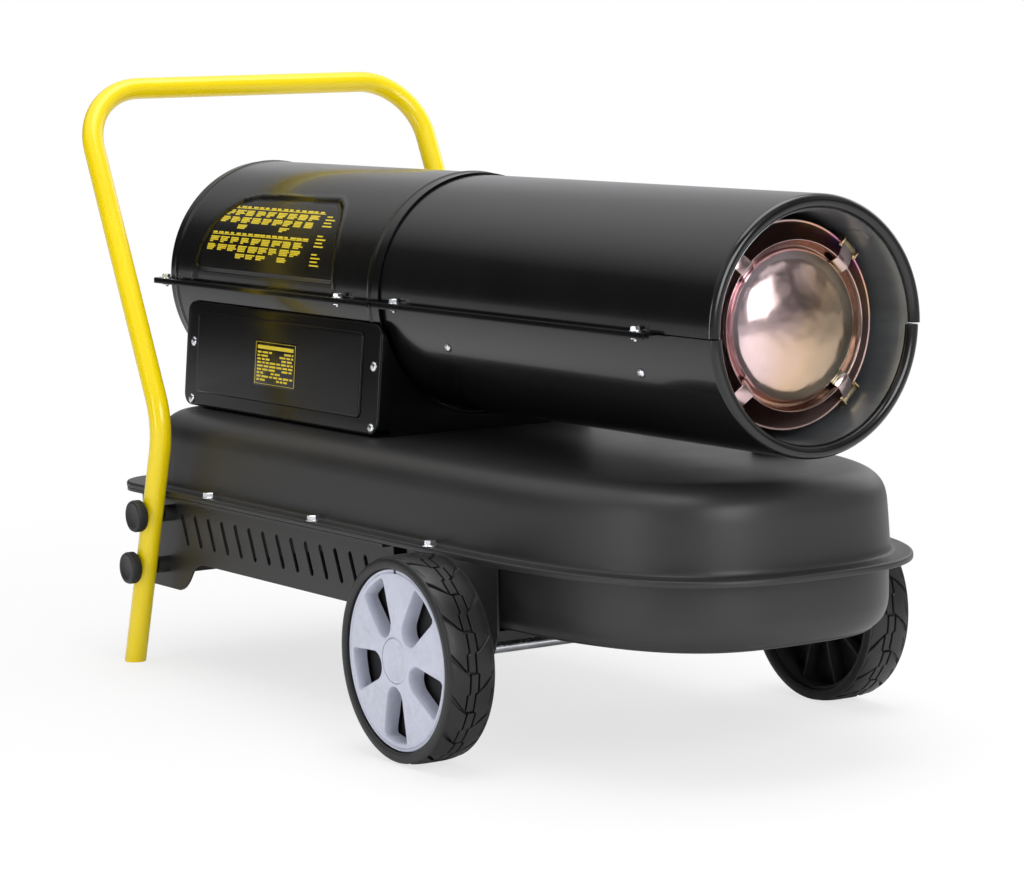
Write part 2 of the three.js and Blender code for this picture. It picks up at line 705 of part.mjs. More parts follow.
function sparkElectrode() {
  const ceramic = rodX(4, HEAD_X - 30, HEAD_X + 12, 12);
  const collar = rodX(7, HEAD_X - 14, HEAD_X - FIT_GAP, 12);
  const wire = rodX(1, HEAD_X + 11, HEAD_X + 22, 6);
  return join(ceramic, collar, wire).translate(0, ELECTRODE.y, ELECTRODE.z);
}

function flameSensor() {
  const body = rodX(6.5, HEAD_X - 34, HEAD_X - 0.8, 12);
  const lens = rodX(3.4, HEAD_X - 2, HEAD_X + 3, 12);
  return join(body, lens).translate(0, SENSOR.y, SENSOR.z);
}

// ---------------------------------------------------------------- fan, motor and air pump

function fanImpeller() {
  const bore = SHAFT_RADIUS + 0.1;
  const hub = turnedX([
    [bore, FAN_X - FAN_HUB_LENGTH / 2], [FAN_HUB_RADIUS, FAN_X - FAN_HUB_LENGTH / 2],
    [FAN_HUB_RADIUS, FAN_X + FAN_HUB_LENGTH / 2 - 4], [FAN_HUB_RADIUS - 5, FAN_X + FAN_HUB_LENGTH / 2],
    [bore, FAN_X + FAN_HUB_LENGTH / 2],
  ], 16);
  const half = FAN_CHORD / 2;
  const outline = [
    [-half * 0.6, FAN_HUB_RADIUS - 4], [half * 0.6, FAN_HUB_RADIUS - 4], [half, FAN_RADIUS * 0.7],
    [half * 0.9, FAN_RADIUS - 3], [half * 0.2, FAN_RADIUS - 0.5], [-half * 0.9, FAN_RADIUS - 3],
    [-half, FAN_RADIUS * 0.7],
  ];
  const blades = Array.from({ length: FAN_BLADES }, (_, i) => {
    const blade = plateY(outline, -0.8, 0.8);
    blade.rotateZ(THREE.MathUtils.degToRad(90 - FAN_PITCH_DEG)).translate(FAN_X, 0, 0);
    return blade.rotateX(2 * Math.PI * i / FAN_BLADES);
  });
  return join(hub, ...blades);
}

const PUMP_FRONT = MOTOR_START - 10;
const PUMP_REAR = PUMP_FRONT - PUMP_LENGTH;

function motorShaft() {
  return rodX(SHAFT_RADIUS, PUMP_REAR + 4, FAN_X + FAN_HUB_LENGTH / 2 + 6, 16);
}

function fanMotor() {
  const bore = SHAFT_RADIUS + RUN_GAP;
  const body = turnedX([
    [bore, MOTOR_START], [MOTOR_RADIUS - 18, MOTOR_START], [MOTOR_RADIUS - 6, MOTOR_START + 8],
    [MOTOR_RADIUS, MOTOR_START + 12], [MOTOR_RADIUS, MOTOR_END - 12], [MOTOR_RADIUS - 6, MOTOR_END - 8],
    [MOTOR_RADIUS - 18, MOTOR_END], [bore, MOTOR_END],
  ], 20);
  const capacitor = rodX(14, MOTOR_START + 15, MOTOR_START + 75).translate(0, 0, MOTOR_RADIUS + 8);
  return join(body, capacitor);
}

// A band round the motor on three arms that stand on the casing's inner wall.
function motorBracket() {
  const middle = (MOTOR_START + MOTOR_END) / 2;
  const inner = MOTOR_RADIUS + FIT_GAP;
  const x0 = middle + 26;
  const band = turnedX([
    [inner, x0], [inner + 3, x0], [inner + 3, x0 + 20], [inner, x0 + 20],
  ], 20);
  const reach = REAR_RADIUS - SHEET - FIELD_DEPTH - 1;
  const arms = [90, 210, 330].map((deg) => join(
    box(x0, x0 + 20, inner + 1, reach, -1.5, 1.5),
    box(x0 - 4, x0 + 24, reach - 2.5, reach, -11, 11),
  ).rotateX(THREE.MathUtils.degToRad(deg)));
  return join(band, ...arms);
}

function airPumpBody() {
  const bore = SHAFT_RADIUS + RUN_GAP;
  const cavity = ROTOR_RADIUS + 2;
  const body = turnedX([
    [bore, MOTOR_START - FIT_GAP], [12, MOTOR_START - FIT_GAP], [12, PUMP_FRONT],
    [PUMP_RADIUS, PUMP_FRONT], [PUMP_RADIUS, PUMP_REAR], [cavity, PUMP_REAR], [cavity, PUMP_FRONT - 8],
    [bore, PUMP_FRONT - 8],
  ].reverse(), 20);
  const port = rodZ(6, -PUMP_RADIUS - 10, -PUMP_RADIUS + 4, 10).translate(AIR_PORT.x, 0, 0);
  return join(body, port);
}

function pumpRotor() {
  const bore = SHAFT_RADIUS + 0.1;
  return turnedX([
    [bore, PUMP_REAR + 8], [ROTOR_RADIUS, PUMP_REAR + 8], [ROTOR_RADIUS, PUMP_FRONT - 10],
    [bore, PUMP_FRONT - 10],
  ], 16);
}

function airFilterCover() {
  const outer = PUMP_RADIUS + 2;
  const open = PUMP_REAR - FIT_GAP;
  const shut = open - FILTER_DEPTH;
  return turnedX([
    [0, shut], [outer - 4, shut], [outer, shut + 4], [outer, open], [outer - 2.5, open],
    [outer - 2.5, shut + 4.5], [outer - 5, shut + 2.5], [0, shut + 2.5],
  ], 20);
}

// ---------------------------------------------------------------- hoses and lead, in barrel heights

function route(points, radii, radius, sides = 6) {
  return swept(bentLine(points.map((p) => new THREE.Vector3(...p)), radii, 3), roundSection(radius, sides));
}

const UNDER_BARREL = TANK_TOP - BARREL_AXIS_HEIGHT + 10;

function airHose() {
  const start = -PUMP_RADIUS - 10 - FIT_GAP;
  return route([
    [AIR_PORT.x, 0, start], [AIR_PORT.x, 0, start - 22],
    [AIR_PORT.x, AIR_PORT.y, (start - 22 + UNDER_BARREL) / 2],
    [AIR_PORT.x, AIR_PORT.y, UNDER_BARREL], [AIR_ENTRY.x, AIR_ENTRY.y, UNDER_BARREL],
    [AIR_ENTRY.x, AIR_ENTRY.y, -70], [NOZZLE_START - 30, 12, -3], [NOZZLE_START - 4, 2.4, 0],
  ], [10, 14, 14, 14, 22, 16], HOSE_RADIUS);
}

function fuelHose() {
  const top = TANK_TOP - BARREL_AXIS_HEIGHT + 14;
  return route([
    [PICKUP.x, PICKUP.y, top], [PICKUP.x, PICKUP.y, top + 10], [FUEL_ENTRY.x, FUEL_ENTRY.y, top - 4],
    [FUEL_ENTRY.x, FUEL_ENTRY.y, -60], [NOZZLE_START - 34, -14, -6], [NOZZLE_START - 1, -3.6, 0],
  ], [8, 12, 22, 12], HOSE_RADIUS);
}

const TRANSFORMER_LENGTH = 80;
const TRANSFORMER_WIDTH = 42;
const TRANSFORMER_HEIGHT = 31;
const TRANSFORMER = {
  x0: ENTRY_X - 22 - TRANSFORMER_LENGTH,
  x1: ENTRY_X - 22,
  y0: FLOOR_HALF - 2 - TRANSFORMER_WIDTH,
  y1: FLOOR_HALF - 2,
  z0: BODY_FLOOR + SHEET + FIT_GAP,
  z1: BODY_FLOOR + SHEET + FIT_GAP + TRANSFORMER_HEIGHT,
};

function ignitionTransformer() {
  const { x0, x1, y0, y1, z0, z1 } = TRANSFORMER;
  const core = box(x0, x1, y0, y1, z0, z1);
  const terminal = rodX(5, x1 - 1, x1 + 8, 10).translate(0, (y0 + y1) / 2, (z0 + z1) / 2);
  return join(core, terminal);
}

function ignitionLead() {
  const y = (TRANSFORMER.y0 + TRANSFORMER.y1) / 2;
  const z = (TRANSFORMER.z0 + TRANSFORMER.z1) / 2 - BARREL_AXIS_HEIGHT;
  const end = HEAD_X - 30 - FIT_GAP;
  return route([
    [TRANSFORMER.x1 + 8 + FIT_GAP, y, z], [LEAD_ENTRY.x, y, z], [LEAD_ENTRY.x, LEAD_ENTRY.y, z],
    [LEAD_ENTRY.x, LEAD_ENTRY.y, -40], [end - 30, ELECTRODE.y, ELECTRODE.z], [end, ELECTRODE.y, ELECTRODE.z],
  ], [7, 7, 18, 14], 2.4);
}

// ---------------------------------------------------------------- side box


// How far out the box's sides stand at a height, less a margin.
function boxHalf(z, margin) {
  const share = (z - TANK_TOP) / (BOX_TOP - TANK_TOP);
  return BOX_HALF_BOTTOM + (BOX_HALF_TOP - BOX_HALF_BOTTOM) * share - margin;
}

function endWallOutline() {
  const step = COVER_FOOT + COVER_CORNER;
  const low = boxHalf(step, 4);
  const high = boxHalf(END_WALL_TOP, 4);
  const seat = REAR_RADIUS + BEAD_HEIGHT;
  const drop = BARREL_AXIS_HEIGHT - END_WALL_TOP;
  const deg = THREE.MathUtils.radToDeg(Math.asin(drop / seat));
  const cradle = arcPoints(0, BARREL_AXIS_HEIGHT, seat, -deg, deg - 180, 14);
  return [
    [-FLOOR_HALF, BODY_FLOOR], [FLOOR_HALF, BODY_FLOOR], [FLOOR_HALF, step], [low, step],
    [high, END_WALL_TOP], ...cradle, [-high, END_WALL_TOP], [-low, step], [-FLOOR_HALF, step],
  ];
}

// A floor on the tank and two end walls that cradle the barrel.
function sideBoxBody() {
  const floor = box(BODY_REAR, BODY_FRONT, -FLOOR_HALF, FLOOR_HALF, BODY_FLOOR, BODY_FLOOR + SHEET);
  const rear = plateX(endWallOutline(), BODY_REAR, BODY_REAR + SHEET);
  const front = plateX(endWallOutline(), BODY_FRONT - SHEET, BODY_FRONT);
  const pickup = rodZ(17, TANK_TOP - 5, TANK_TOP + 10, 16).translate(PICKUP.x, PICKUP.y, 0);
  const gland = rodX(GLAND.radius + FIT_GAP, BODY_REAR - 5, BODY_REAR + 8, 16)
    .translate(0, GLAND.y, GLAND.z);
  return cut(join(floor, rear, front), pickup, gland);
}

const GLAND = { radius: 8, y: FLOOR_HALF - 22, z: TANK_TOP + 25 };

function cordGland() {
  const bore = 3.6;
  const flange = GLAND.radius + 4;
  return turnedX([
    [bore, BODY_REAR - 16], [GLAND.radius - 2, BODY_REAR - 16], [flange - 2, BODY_REAR - 10],
    [flange, BODY_REAR - 0.4], [GLAND.radius, BODY_REAR - 0.4], [GLAND.radius, BODY_REAR + 12],
    [bore, BODY_REAR + 12],
  ].reverse(), 12).translate(0, GLAND.y, GLAND.z);
}

// A drawn cover lying in its own plane: x along the box, y up its slope, z outwards.
const COVER_HALF = (BOX_FRONT - BOX_REAR) / 2;
const COVER_SCREW_X = COVER_HALF - 11;
const COVER_SCREWS_Y = [7.5, COVER_HEIGHT - 44.6];
const COVER_SCREWS = [-1, 1].flatMap((side) => COVER_SCREWS_Y.map((y) => [side * COVER_SCREW_X, y]));
const FIELD = { x0: 20.5 - COVER_HALF, x1: COVER_HALF - 33.5, y0: 16, y1: COVER_HEIGHT - 10.6, rise: 1.6 };

function coverShell() {
  const bevel = 3;
  const outline = outlineShape(roundedBox(
    -COVER_HALF + bevel, COVER_HALF - bevel, bevel, COVER_HEIGHT - bevel, COVER_CORNER - bevel));
  const block = new THREE.ExtrudeGeometry(outline, {
    depth: COVER_DEPTH - bevel, bevelEnabled: true, bevelSize: bevel, bevelThickness: bevel, bevelSegments: 1,
  }).translate(0, 0, -COVER_DEPTH);
  const trimmed = cut(block, box(-BEYOND, BEYOND, -BEYOND, BEYOND, -BEYOND, -COVER_DEPTH));
  const hollow = plateZ(roundedBox(
    -COVER_HALF + SHEET, COVER_HALF - SHEET, SHEET, COVER_HEIGHT - SHEET, COVER_CORNER - SHEET),
  -COVER_DEPTH - 5, -SHEET - 1);
  const panel = plateZ(roundedBox(FIELD.x0, FIELD.x1, FIELD.y0, FIELD.y1, 6, 2), -2, FIELD.rise);
  const screws = COVER_SCREWS.map(([x, y]) => panScrew(9).translate(x, y, -0.2));
  return join(cut(trimmed, hollow), panel, ...screws);
}

// The barrel as the covers see it, so that their top edges pass just under it.
function barrelInCoverPlane() {
  const clear = REAR_RADIUS + BEAD_HEIGHT + FIT_GAP;
  const rod = rodX(clear, -400, 400, ROUND_SIDES);
  const out = BOX_HALF_BOTTOM;
  const up = BARREL_AXIS_HEIGHT - COVER_FOOT;
  rod.translate(0, out, up).rotateX(COVER_TILT);
  return placed(rod, [1, 0, 0], [0, 0, -1], [0, 1, 0], [0, 0, 0]);
}

function sideBoxCover() {
  return cut(coverShell(), barrelInCoverPlane());
}

const CONTROLS_Y = FIELD.y1 - 43;
const KNOB_AT = { x: 60, y: CONTROLS_Y };
const SWITCH_AT = { x: -60, y: CONTROLS_Y };

function controlPanel() {
  const knobHole = rodZ(5, -10, 5, 12).translate(KNOB_AT.x, KNOB_AT.y, 0);
  const w = SWITCH.width / 2 + FIT_GAP;
  const h = SWITCH.height / 2 + FIT_GAP;
  const switchHole = box(SWITCH_AT.x - w, SWITCH_AT.x + w, SWITCH_AT.y - h, SWITCH_AT.y + h, -10, 5);
  return cut(coverShell(), barrelInCoverPlane(), knobHole, switchHole);
}

const SWITCH = { width: 22, height: 30, depth: 20 };
const ROCKER_THROW_DEG = 16;

function switchHousing() {
  const { width, height, depth } = SWITCH;
  const front = FIELD.rise + FIT_GAP;
  const body = box(-width / 2, width / 2, -height / 2, height / 2, -depth, front + 1);
  const frame = box(-width / 2 - 3, width / 2 + 3, -height / 2 - 3, height / 2 + 3, front, front + 2.4);
  const well = box(-width / 2 + 2, width / 2 - 2, -height / 2 + 2, height / 2 - 2, -10, front + 5);
  return cut(join(body, frame), well);
}

// The rocker tips about a pin across the middle of the well; at rest its lower end is pressed in.
function switchRocker() {
  const reach = SWITCH.height / 2 - 3;
  const profile = [[-reach, 5], [-reach + 2, -1.5], [0, -4.5], [reach - 2, -1.5], [reach, 5], [0, 3]];
  const half = SWITCH.width / 2 - 2.6;
  return plateX(profile, -half, half).rotateX(THREE.MathUtils.degToRad(ROCKER_THROW_DEG / 2));
}

function thermostatBody() {
  const front = -3;
  const depth = 16;
  const body = turnedZ([[0, front - depth], [15, front - depth], [15, front], [0, front]], 16);
  const shaft = rodZ(4.2, front - 2, FIELD.rise + 2, 12);
  return join(body, shaft);
}

function thermostatKnob() {
  const base = FIELD.rise + FIT_GAP + 2.2;
  const grip = turnedZ([
    [0, base], [17, base], [17, base + 3], [14, base + 5], [13, base + 17], [11, base + 18.5],
    [0, base + 18.5],
  ], 18);
  const pointer = box(-1.2, 1.2, 3, 14.2, base + 10, base + 19.5);
  return join(grip, pointer).rotateZ(THREE.MathUtils.degToRad(135));
}

const BOARD = { x: BODY_REAR + 93, z: BODY_FLOOR + 6.6, length: 130, height: 50, sheet: 1.8 };

function controlBoard() {
  const { length, height, sheet } = BOARD;
  const board = box(0, length, 0, sheet, 0, height);
  const relay = box(10, 40, sheet - 0.3, sheet + 13.2, 6, 28);
  const block = box(55, 75, sheet - 0.3, sheet + 11.2, 8, 30);
  const plug = box(90, 120, sheet - 0.3, sheet + 9.2, 10, 22);
  const capacitor = rodY(7, sheet - 0.3, sheet + 17.2, 12).translate(65, 0, 40);
  return join(board, relay, block, plug, capacitor).translate(BOARD.x, -FLOOR_HALF - 1, BOARD.z);
}

// ---------------------------------------------------------------- fuel tank

// A plan outline, counter-clockwise: a superellipse nose, straight sides and round rear corners.
function planOutline(plan, inset, z) {
  const half = plan.half - inset;
  const reach = plan.tip - inset - NOSE_START;
  const corner = plan.corner - inset;
  const rear = plan.rear + inset;
  const power = 2 / NOSE_POWER;
  const steps = 14;
  const nose = Array.from({ length: steps + 1 }, (_, i) => {
    const t = -Math.PI / 2 + Math.PI * i / steps;
    const x = NOSE_START + reach * Math.abs(Math.cos(t)) ** power;
    return [x, half * Math.sign(Math.sin(t)) * Math.abs(Math.sin(t)) ** power];
  });
  const points = [
    ...nose,
    ...arcPoints(rear + corner, half - corner, corner, 90, 180, 3),
    ...arcPoints(rear + corner, -half + corner, corner, 180, 270, 3),
  ];
  return points.map(([x, y]) => new THREE.Vector3(x, y, z));
}

const TANK_EDGE = 38; // radius of the tank's upper edge

function tankUpperShell() {
  const flat = FLANGE_TOP;
  const outer = [
    [TANK_BODY, TANK_EDGE + 2, TANK_TOP],
    [TANK_BODY, 25, TANK_TOP - 2.6],
    [TANK_BODY, 13, TANK_TOP - 10.5],
    [TANK_BODY, 5, TANK_TOP - 23],
    [TANK_BODY, 2, TANK_TOP - TANK_EDGE],
    [TANK_BODY, 0, flat + 5],
    [TANK_BODY, -1, flat + 1.5],
    [TANK_BODY, -3.6, flat],
    [FLANGE, 1.2, flat],
    [FLANGE, 0, flat - 1],
    [FLANGE, 0, LIP_BOTTOM],
    [FLANGE, SHEET, LIP_BOTTOM],
    [FLANGE, SHEET, flat - SHEET],
    [TANK_BODY, -3, flat - SHEET],
    [TANK_BODY, 0.5, flat + 0.8],
    [TANK_BODY, SHEET, flat + 5],
    [TANK_BODY, SHEET + 2, TANK_TOP - TANK_EDGE],
    [TANK_BODY, SHEET + 12.6, TANK_TOP - 11.8],
    [TANK_BODY, TANK_EDGE + 2, TANK_TOP - SHEET],
  ];
  const middle = (TANK_BODY.rear + TANK_BODY.tip) / 2;
  const shell = ringSkin(
    outer.map(([plan, inset, z]) => planOutline(plan, inset, z)),
    new THREE.Vector3(middle, 0, TANK_TOP), new THREE.Vector3(middle, 0, TANK_TOP - SHEET));
  const neck = rodZ(FILLER_RADIUS + 2 * FIT_GAP, TANK_TOP - 10, TANK_TOP + 10, 16)
    .translate(FILLER.x, FILLER.y, 0);
  const gauge = rodZ(15 + FIT_GAP, TANK_TOP - 10, TANK_TOP + 10, 12)
    .translate(GAUGE.x, GAUGE.y, 0);
  const pickup = rodZ(PICKUP_TUBE + FIT_GAP, TANK_TOP - 10, TANK_TOP + 10, 12)
    .translate(PICKUP.x, PICKUP.y, 0);
  return cut(shell, neck, gauge, pickup, ...boltHoles([...SKIRT_BOLTS_X, BRACKET_BOLT_X]));
}

function boltHoles(places) {
  return bothSides((side) => places.map((x) => (
    rodZ(BOLT_HOLE, SKIRT_TOP - 10, FLANGE_TOP + 5, 6).translate(x, side * BOLT_Y, 0))));
}

function tankLowerShell() {
  const top = FLANGE_TOP - SHEET - FIT_GAP;
  const rim = SHEET + FIT_GAP + 0.3;
  const r = PAN_EDGE_RADIUS;
  const slope = r * (1 - Math.SQRT1_2);
  const rings = [
    [PAN, r, PAN_BOTTOM],
    [PAN, r * 0.62, PAN_BOTTOM + r * 0.075],
    [PAN, slope, PAN_BOTTOM + slope],
    [PAN, r * 0.075, PAN_BOTTOM + r * 0.62],
    [PAN, 0, PAN_BOTTOM + r],
    [PAN, 0, top - SHEET],
    [FLANGE, rim + SHEET, top - SHEET],
    [FLANGE, rim + SHEET, LIP_BOTTOM],
    [FLANGE, rim, LIP_BOTTOM],
    [FLANGE, rim, top],
    [PAN, SHEET, top],
    [PAN, SHEET, PAN_BOTTOM + r],
    [PAN, slope + 1.1, PAN_BOTTOM + slope + 1.1],
    [PAN, r, PAN_BOTTOM + SHEET],
  ];
  const middle = (PAN.rear + PAN.tip) / 2;
  const shell = ringSkin(
    rings.map(([plan, inset, z]) => planOutline(plan, inset, z)),
    new THREE.Vector3(middle, 0, PAN_BOTTOM), new THREE.Vector3(middle, 0, PAN_BOTTOM + SHEET));
  const drain = rodZ(DRAIN.thread + FIT_GAP, PAN_BOTTOM - 5, PAN_BOTTOM + 8, 12).translate(DRAIN.x, 0, 0);
  return cut(shell, drain, ...boltHoles([...SKIRT_BOLTS_X, BRACKET_BOLT_X]));
}

const DRAIN = { x: 150, thread: 6 };

function drainPlug() {
  const head = rodZ(9, PAN_BOTTOM - FIT_GAP - 6, PAN_BOTTOM - FIT_GAP, 6);
  const thread = rodZ(DRAIN.thread, PAN_BOTTOM - 1, PAN_BOTTOM + 9, 12);
  return join(head, thread).translate(DRAIN.x, 0, 0);
}

const NECK_HEIGHT = 9;

function fillerNeck() {
  const wall = 2;
  const base = TANK_TOP + FIT_GAP;
  return turnedZ([
    [FILLER_RADIUS - wall, TANK_TOP - 24], [FILLER_RADIUS, TANK_TOP - 24], [FILLER_RADIUS, base],
    [FILLER_RADIUS + 7, base], [FILLER_RADIUS + 7, base + 1.6], [FILLER_RADIUS, base + 1.6],
    [FILLER_RADIUS, base + NECK_HEIGHT], [FILLER_RADIUS - wall, base + NECK_HEIGHT],
  ], 16).translate(FILLER.x, FILLER.y, 0);
}

const NECK_TOP = TANK_TOP + FIT_GAP + NECK_HEIGHT;

function capGasket() {
  return turnedZ([
    [FILLER_RADIUS - 5, NECK_TOP + 0.3], [FILLER_RADIUS + 0.6, NECK_TOP + 0.3],
    [FILLER_RADIUS + 0.6, NECK_TOP + 2.3], [FILLER_RADIUS - 5, NECK_TOP + 2.3],
  ], 16).translate(FILLER.x, FILLER.y, 0);
}

function fillerCap() {
  const skirt = FILLER_RADIUS + 1.4;
  const under = NECK_TOP + 2.7;
  const bottom = TANK_TOP + FIT_GAP + 2.6;
  const top = bottom + CAP_HEIGHT;
  const cup = turnedZ([
    [0, under], [skirt, under], [skirt, bottom], [CAP_GRIP_RADIUS, bottom], [CAP_GRIP_RADIUS, top - 2],
    [CAP_GRIP_RADIUS - 2, top], [0, top],
  ], 16);
  const ribs = Array.from({ length: 6 }, (_, i) => (
    box(-2.5, 2.5, CAP_GRIP_RADIUS - 1, CAP_GRIP_RADIUS + 1.6, bottom + 2, top - 3)
      .rotateZ(Math.PI * i / 3)));
  return join(cup, ...ribs).translate(FILLER.x, FILLER.y, 0);
}

function fuelGauge() {
  const base = TANK_TOP + FIT_GAP;
  const bezel = turnedZ([[0, base], [20, base], [20, base + 4], [17, base + 7], [0, base + 7]], 24);
  const stem = rodZ(15 - FIT_GAP, TANK_TOP - 12, base + 1);
  return join(bezel, stem).translate(GAUGE.x, GAUGE.y, 0);
}

const PICKUP_TUBE = 4;

function fuelPickup() {
  const base = TANK_TOP + FIT_GAP;
  const flange = rodZ(14, base, base + 3, 16);
  const tube = rodZ(PICKUP_TUBE, FLANGE_TOP + 12, base + 1, 12);
  const strainer = rodZ(8, FLANGE_TOP + 4, FLANGE_TOP + 16, 12);
  const barb = rodZ(3, base + 2, TANK_TOP + 14 - FIT_GAP, 10);
  return join(flange, tube, strainer, barb).translate(PICKUP.x, PICKUP.y, 0);
}

// ---------------------------------------------------------------- base skirt

// The plan of the U-shaped skirt, from its near front end round the back to its far front end.
function skirtPlan(inset) {
  const half = SKIRT_HALF - inset;
  const rear = SKIRT_REAR + inset;
  const corner = SKIRT_CORNER - inset;
  return [
    [SKIRT_FRONT, half],
    ...arcPoints(rear + corner, half - corner, corner, 90, 180, 5),
    ...arcPoints(rear + corner, -half + corner, corner, 180, 270, 5),
    [SKIRT_FRONT, -half],
  ];
}

function skirtLowerCut() {
  const below = FOOT_BOTTOM - 10;
  const edge = [
    [FOOT_FRONT, below], [FOOT_FRONT, FOOT_BOTTOM], [FOOT_FRONT + 20, FOOT_BOTTOM + 16],
    [FOOT_FRONT + 30, FOOT_BOTTOM + 26], [FOOT_FRONT + 42, SKIRT_BOTTOM - 3.5],
    [FOOT_FRONT + 56, SKIRT_BOTTOM], [SKIRT_FRONT + 30, SKIRT_BOTTOM], [SKIRT_FRONT + 30, below],
  ];
  return plateY(edge, -SKIRT_HALF - 30, SKIRT_HALF + 30);
}

function skirtSlot(x) {
  const r = SLOT_WIDTH / 2;
  const run = SLOT_LENGTH / 2 - r;
  const outline = [[-r, -run - r], [r, -run - r], [r, run + r], [-r, run + r]];
  const slot = plateY(outline, -SKIRT_HALF - 10, SKIRT_HALF + 10);
  return slot.rotateY(THREE.MathUtils.degToRad(-SLOT_LEAN_DEG)).translate(x, 0, SLOT_HEIGHT);
}

function baseSkirt() {
  const wall = cut(
    plateZ(skirtPlan(0), FOOT_BOTTOM, SKIRT_TOP),
    plateZ([...skirtPlan(THICK_SHEET), [SKIRT_FRONT + 40, -SKIRT_HALF + THICK_SHEET],
      [SKIRT_FRONT + 40, SKIRT_HALF - THICK_SHEET]], FOOT_BOTTOM - 5, SKIRT_TOP + 5),
    skirtLowerCut());
  const plan = planOutline(FLANGE, 0.6, 0).map((p) => [p.x, p.y]);
  const flange = cut(
    plateZ(plan, SKIRT_TOP - SKIRT_FLANGE_THICKNESS, SKIRT_TOP),
    plateZ([...skirtPlan(THICK_SHEET / 2), [SKIRT_FRONT + 40, -SKIRT_HALF + 1],
      [SKIRT_FRONT + 40, SKIRT_HALF - 1]], SKIRT_TOP - 20, SKIRT_TOP + 5),
    box(SKIRT_FRONT, BEYOND, -BEYOND, BEYOND, 0, BEYOND));
  const bosses = bothSides((side) => KNOB_HEIGHTS.flatMap((z) => {
    const nut = between(side, SKIRT_HALF - 7, SKIRT_HALF - 1);
    const spacer = between(side, SKIRT_HALF - 1, LEG_SPREAD - TUBE_RADIUS - FIT_GAP);
    return [rodY(8, ...nut, 6), rodY(9, ...spacer, 8)].map((boss) => boss.translate(legX(z), 0, z));
  }));
  const slots = Array.from({ length: SLOT_COUNT }, (_, i) => skirtSlot(SLOT_FIRST_X + SLOT_PITCH * i));
  const studs = KNOB_HEIGHTS.map((z) => (
    rodY(STUD_HOLE, -SKIRT_HALF - 20, SKIRT_HALF + 20, 6).translate(legX(z), 0, z)));
  return cut(join(wall, flange, ...bosses), ...slots, ...studs, ...boltHoles(SKIRT_BOLTS_X));
}

// ---------------------------------------------------------------- handle and knobs

function handlePath() {
  const corners = [
    new THREE.Vector3(legX(-30), -LEG_SPREAD, -30),
    new THREE.Vector3(LEG_BEND.x, -LEG_SPREAD, LEG_BEND.z),
    new THREE.Vector3(CROSSBAR.x, -LEG_SPREAD, CROSSBAR.z),
  ];
  const mirrored = corners.map((p) => new THREE.Vector3(p.x, -p.y, p.z)).reverse();
  const radii = [LEG_BEND_RADIUS, CROSSBAR_RADIUS, CROSSBAR_RADIUS, LEG_BEND_RADIUS];
  return bentLine([...corners, ...mirrored], radii, 4);
}

function handleTube() {
  const tube = swept(handlePath(), tubeSection(TUBE_RADIUS, TUBE_WALL, 10, 6));
  const floor = box(-BEYOND, BEYOND, -BEYOND, BEYOND, -BEYOND, 0);
  const holes = KNOB_HEIGHTS.map((z) => (
    rodY(STUD_HOLE, -LEG_SPREAD - 20, LEG_SPREAD + 20, 6).translate(legX(z), 0, z)));
  return cut(tube, floor, ...holes);
}

// A knob lying along -Y from its seat at y = 0, with its stud pointing to +Y.
function clampKnob() {
  const seat = -FIT_GAP;
  const grip = turnedY([
    [0, seat - KNOB_DEPTH], [KNOB_RADIUS - 1.5, seat - KNOB_DEPTH], [KNOB_RADIUS, seat - KNOB_DEPTH + 1.5],
    [KNOB_RADIUS, seat - 2.5], [KNOB_RADIUS - 3, seat], [0, seat],
  ], 20);
  const reach = LEG_SPREAD + TUBE_RADIUS - SKIRT_HALF + 12;
  const stud = rodY(STUD_RADIUS, seat - 2, reach);
  return join(grip, stud);
}

function clampKnobs() {
  return bothSides((side) => KNOB_HEIGHTS.map((z, i) => {
    const level = i === 0 ? 'upper' : 'lower';
    const knob = piece(`clamp_knob_${SIDE_NAMES[side]}_${level}`, clampKnob(), blackPlastic());
    knob.position.set(legX(z), side * (LEG_SPREAD + TUBE_RADIUS), z);
    if (side > 0) knob.rotation.z = Math.PI;
    return knob;
  }));
}

// ---------------------------------------------------------------- axle and wheels

// The axle with the collars staked on it at both ends of each hub.
function axle() {
  const out = TYRE_MIDDLE + HUB_BOSS_OUT + RUN_GAP;
  const inside = TYRE_MIDDLE - HUB_BOSS_IN - RUN_GAP;
  const reach = out + COLLAR_WIDTH + 1.5;
  const spans = [[out, out + COLLAR_WIDTH], [inside - COLLAR_WIDTH, inside]];
  const collars = bothSides((side) => spans.map((span) => rodY(COLLAR_RADIUS, ...between(side, ...span))));
  return join(rodY(AXLE_RADIUS, -reach, reach, 12), ...collars).translate(0, 0, WHEEL_RADIUS);
}

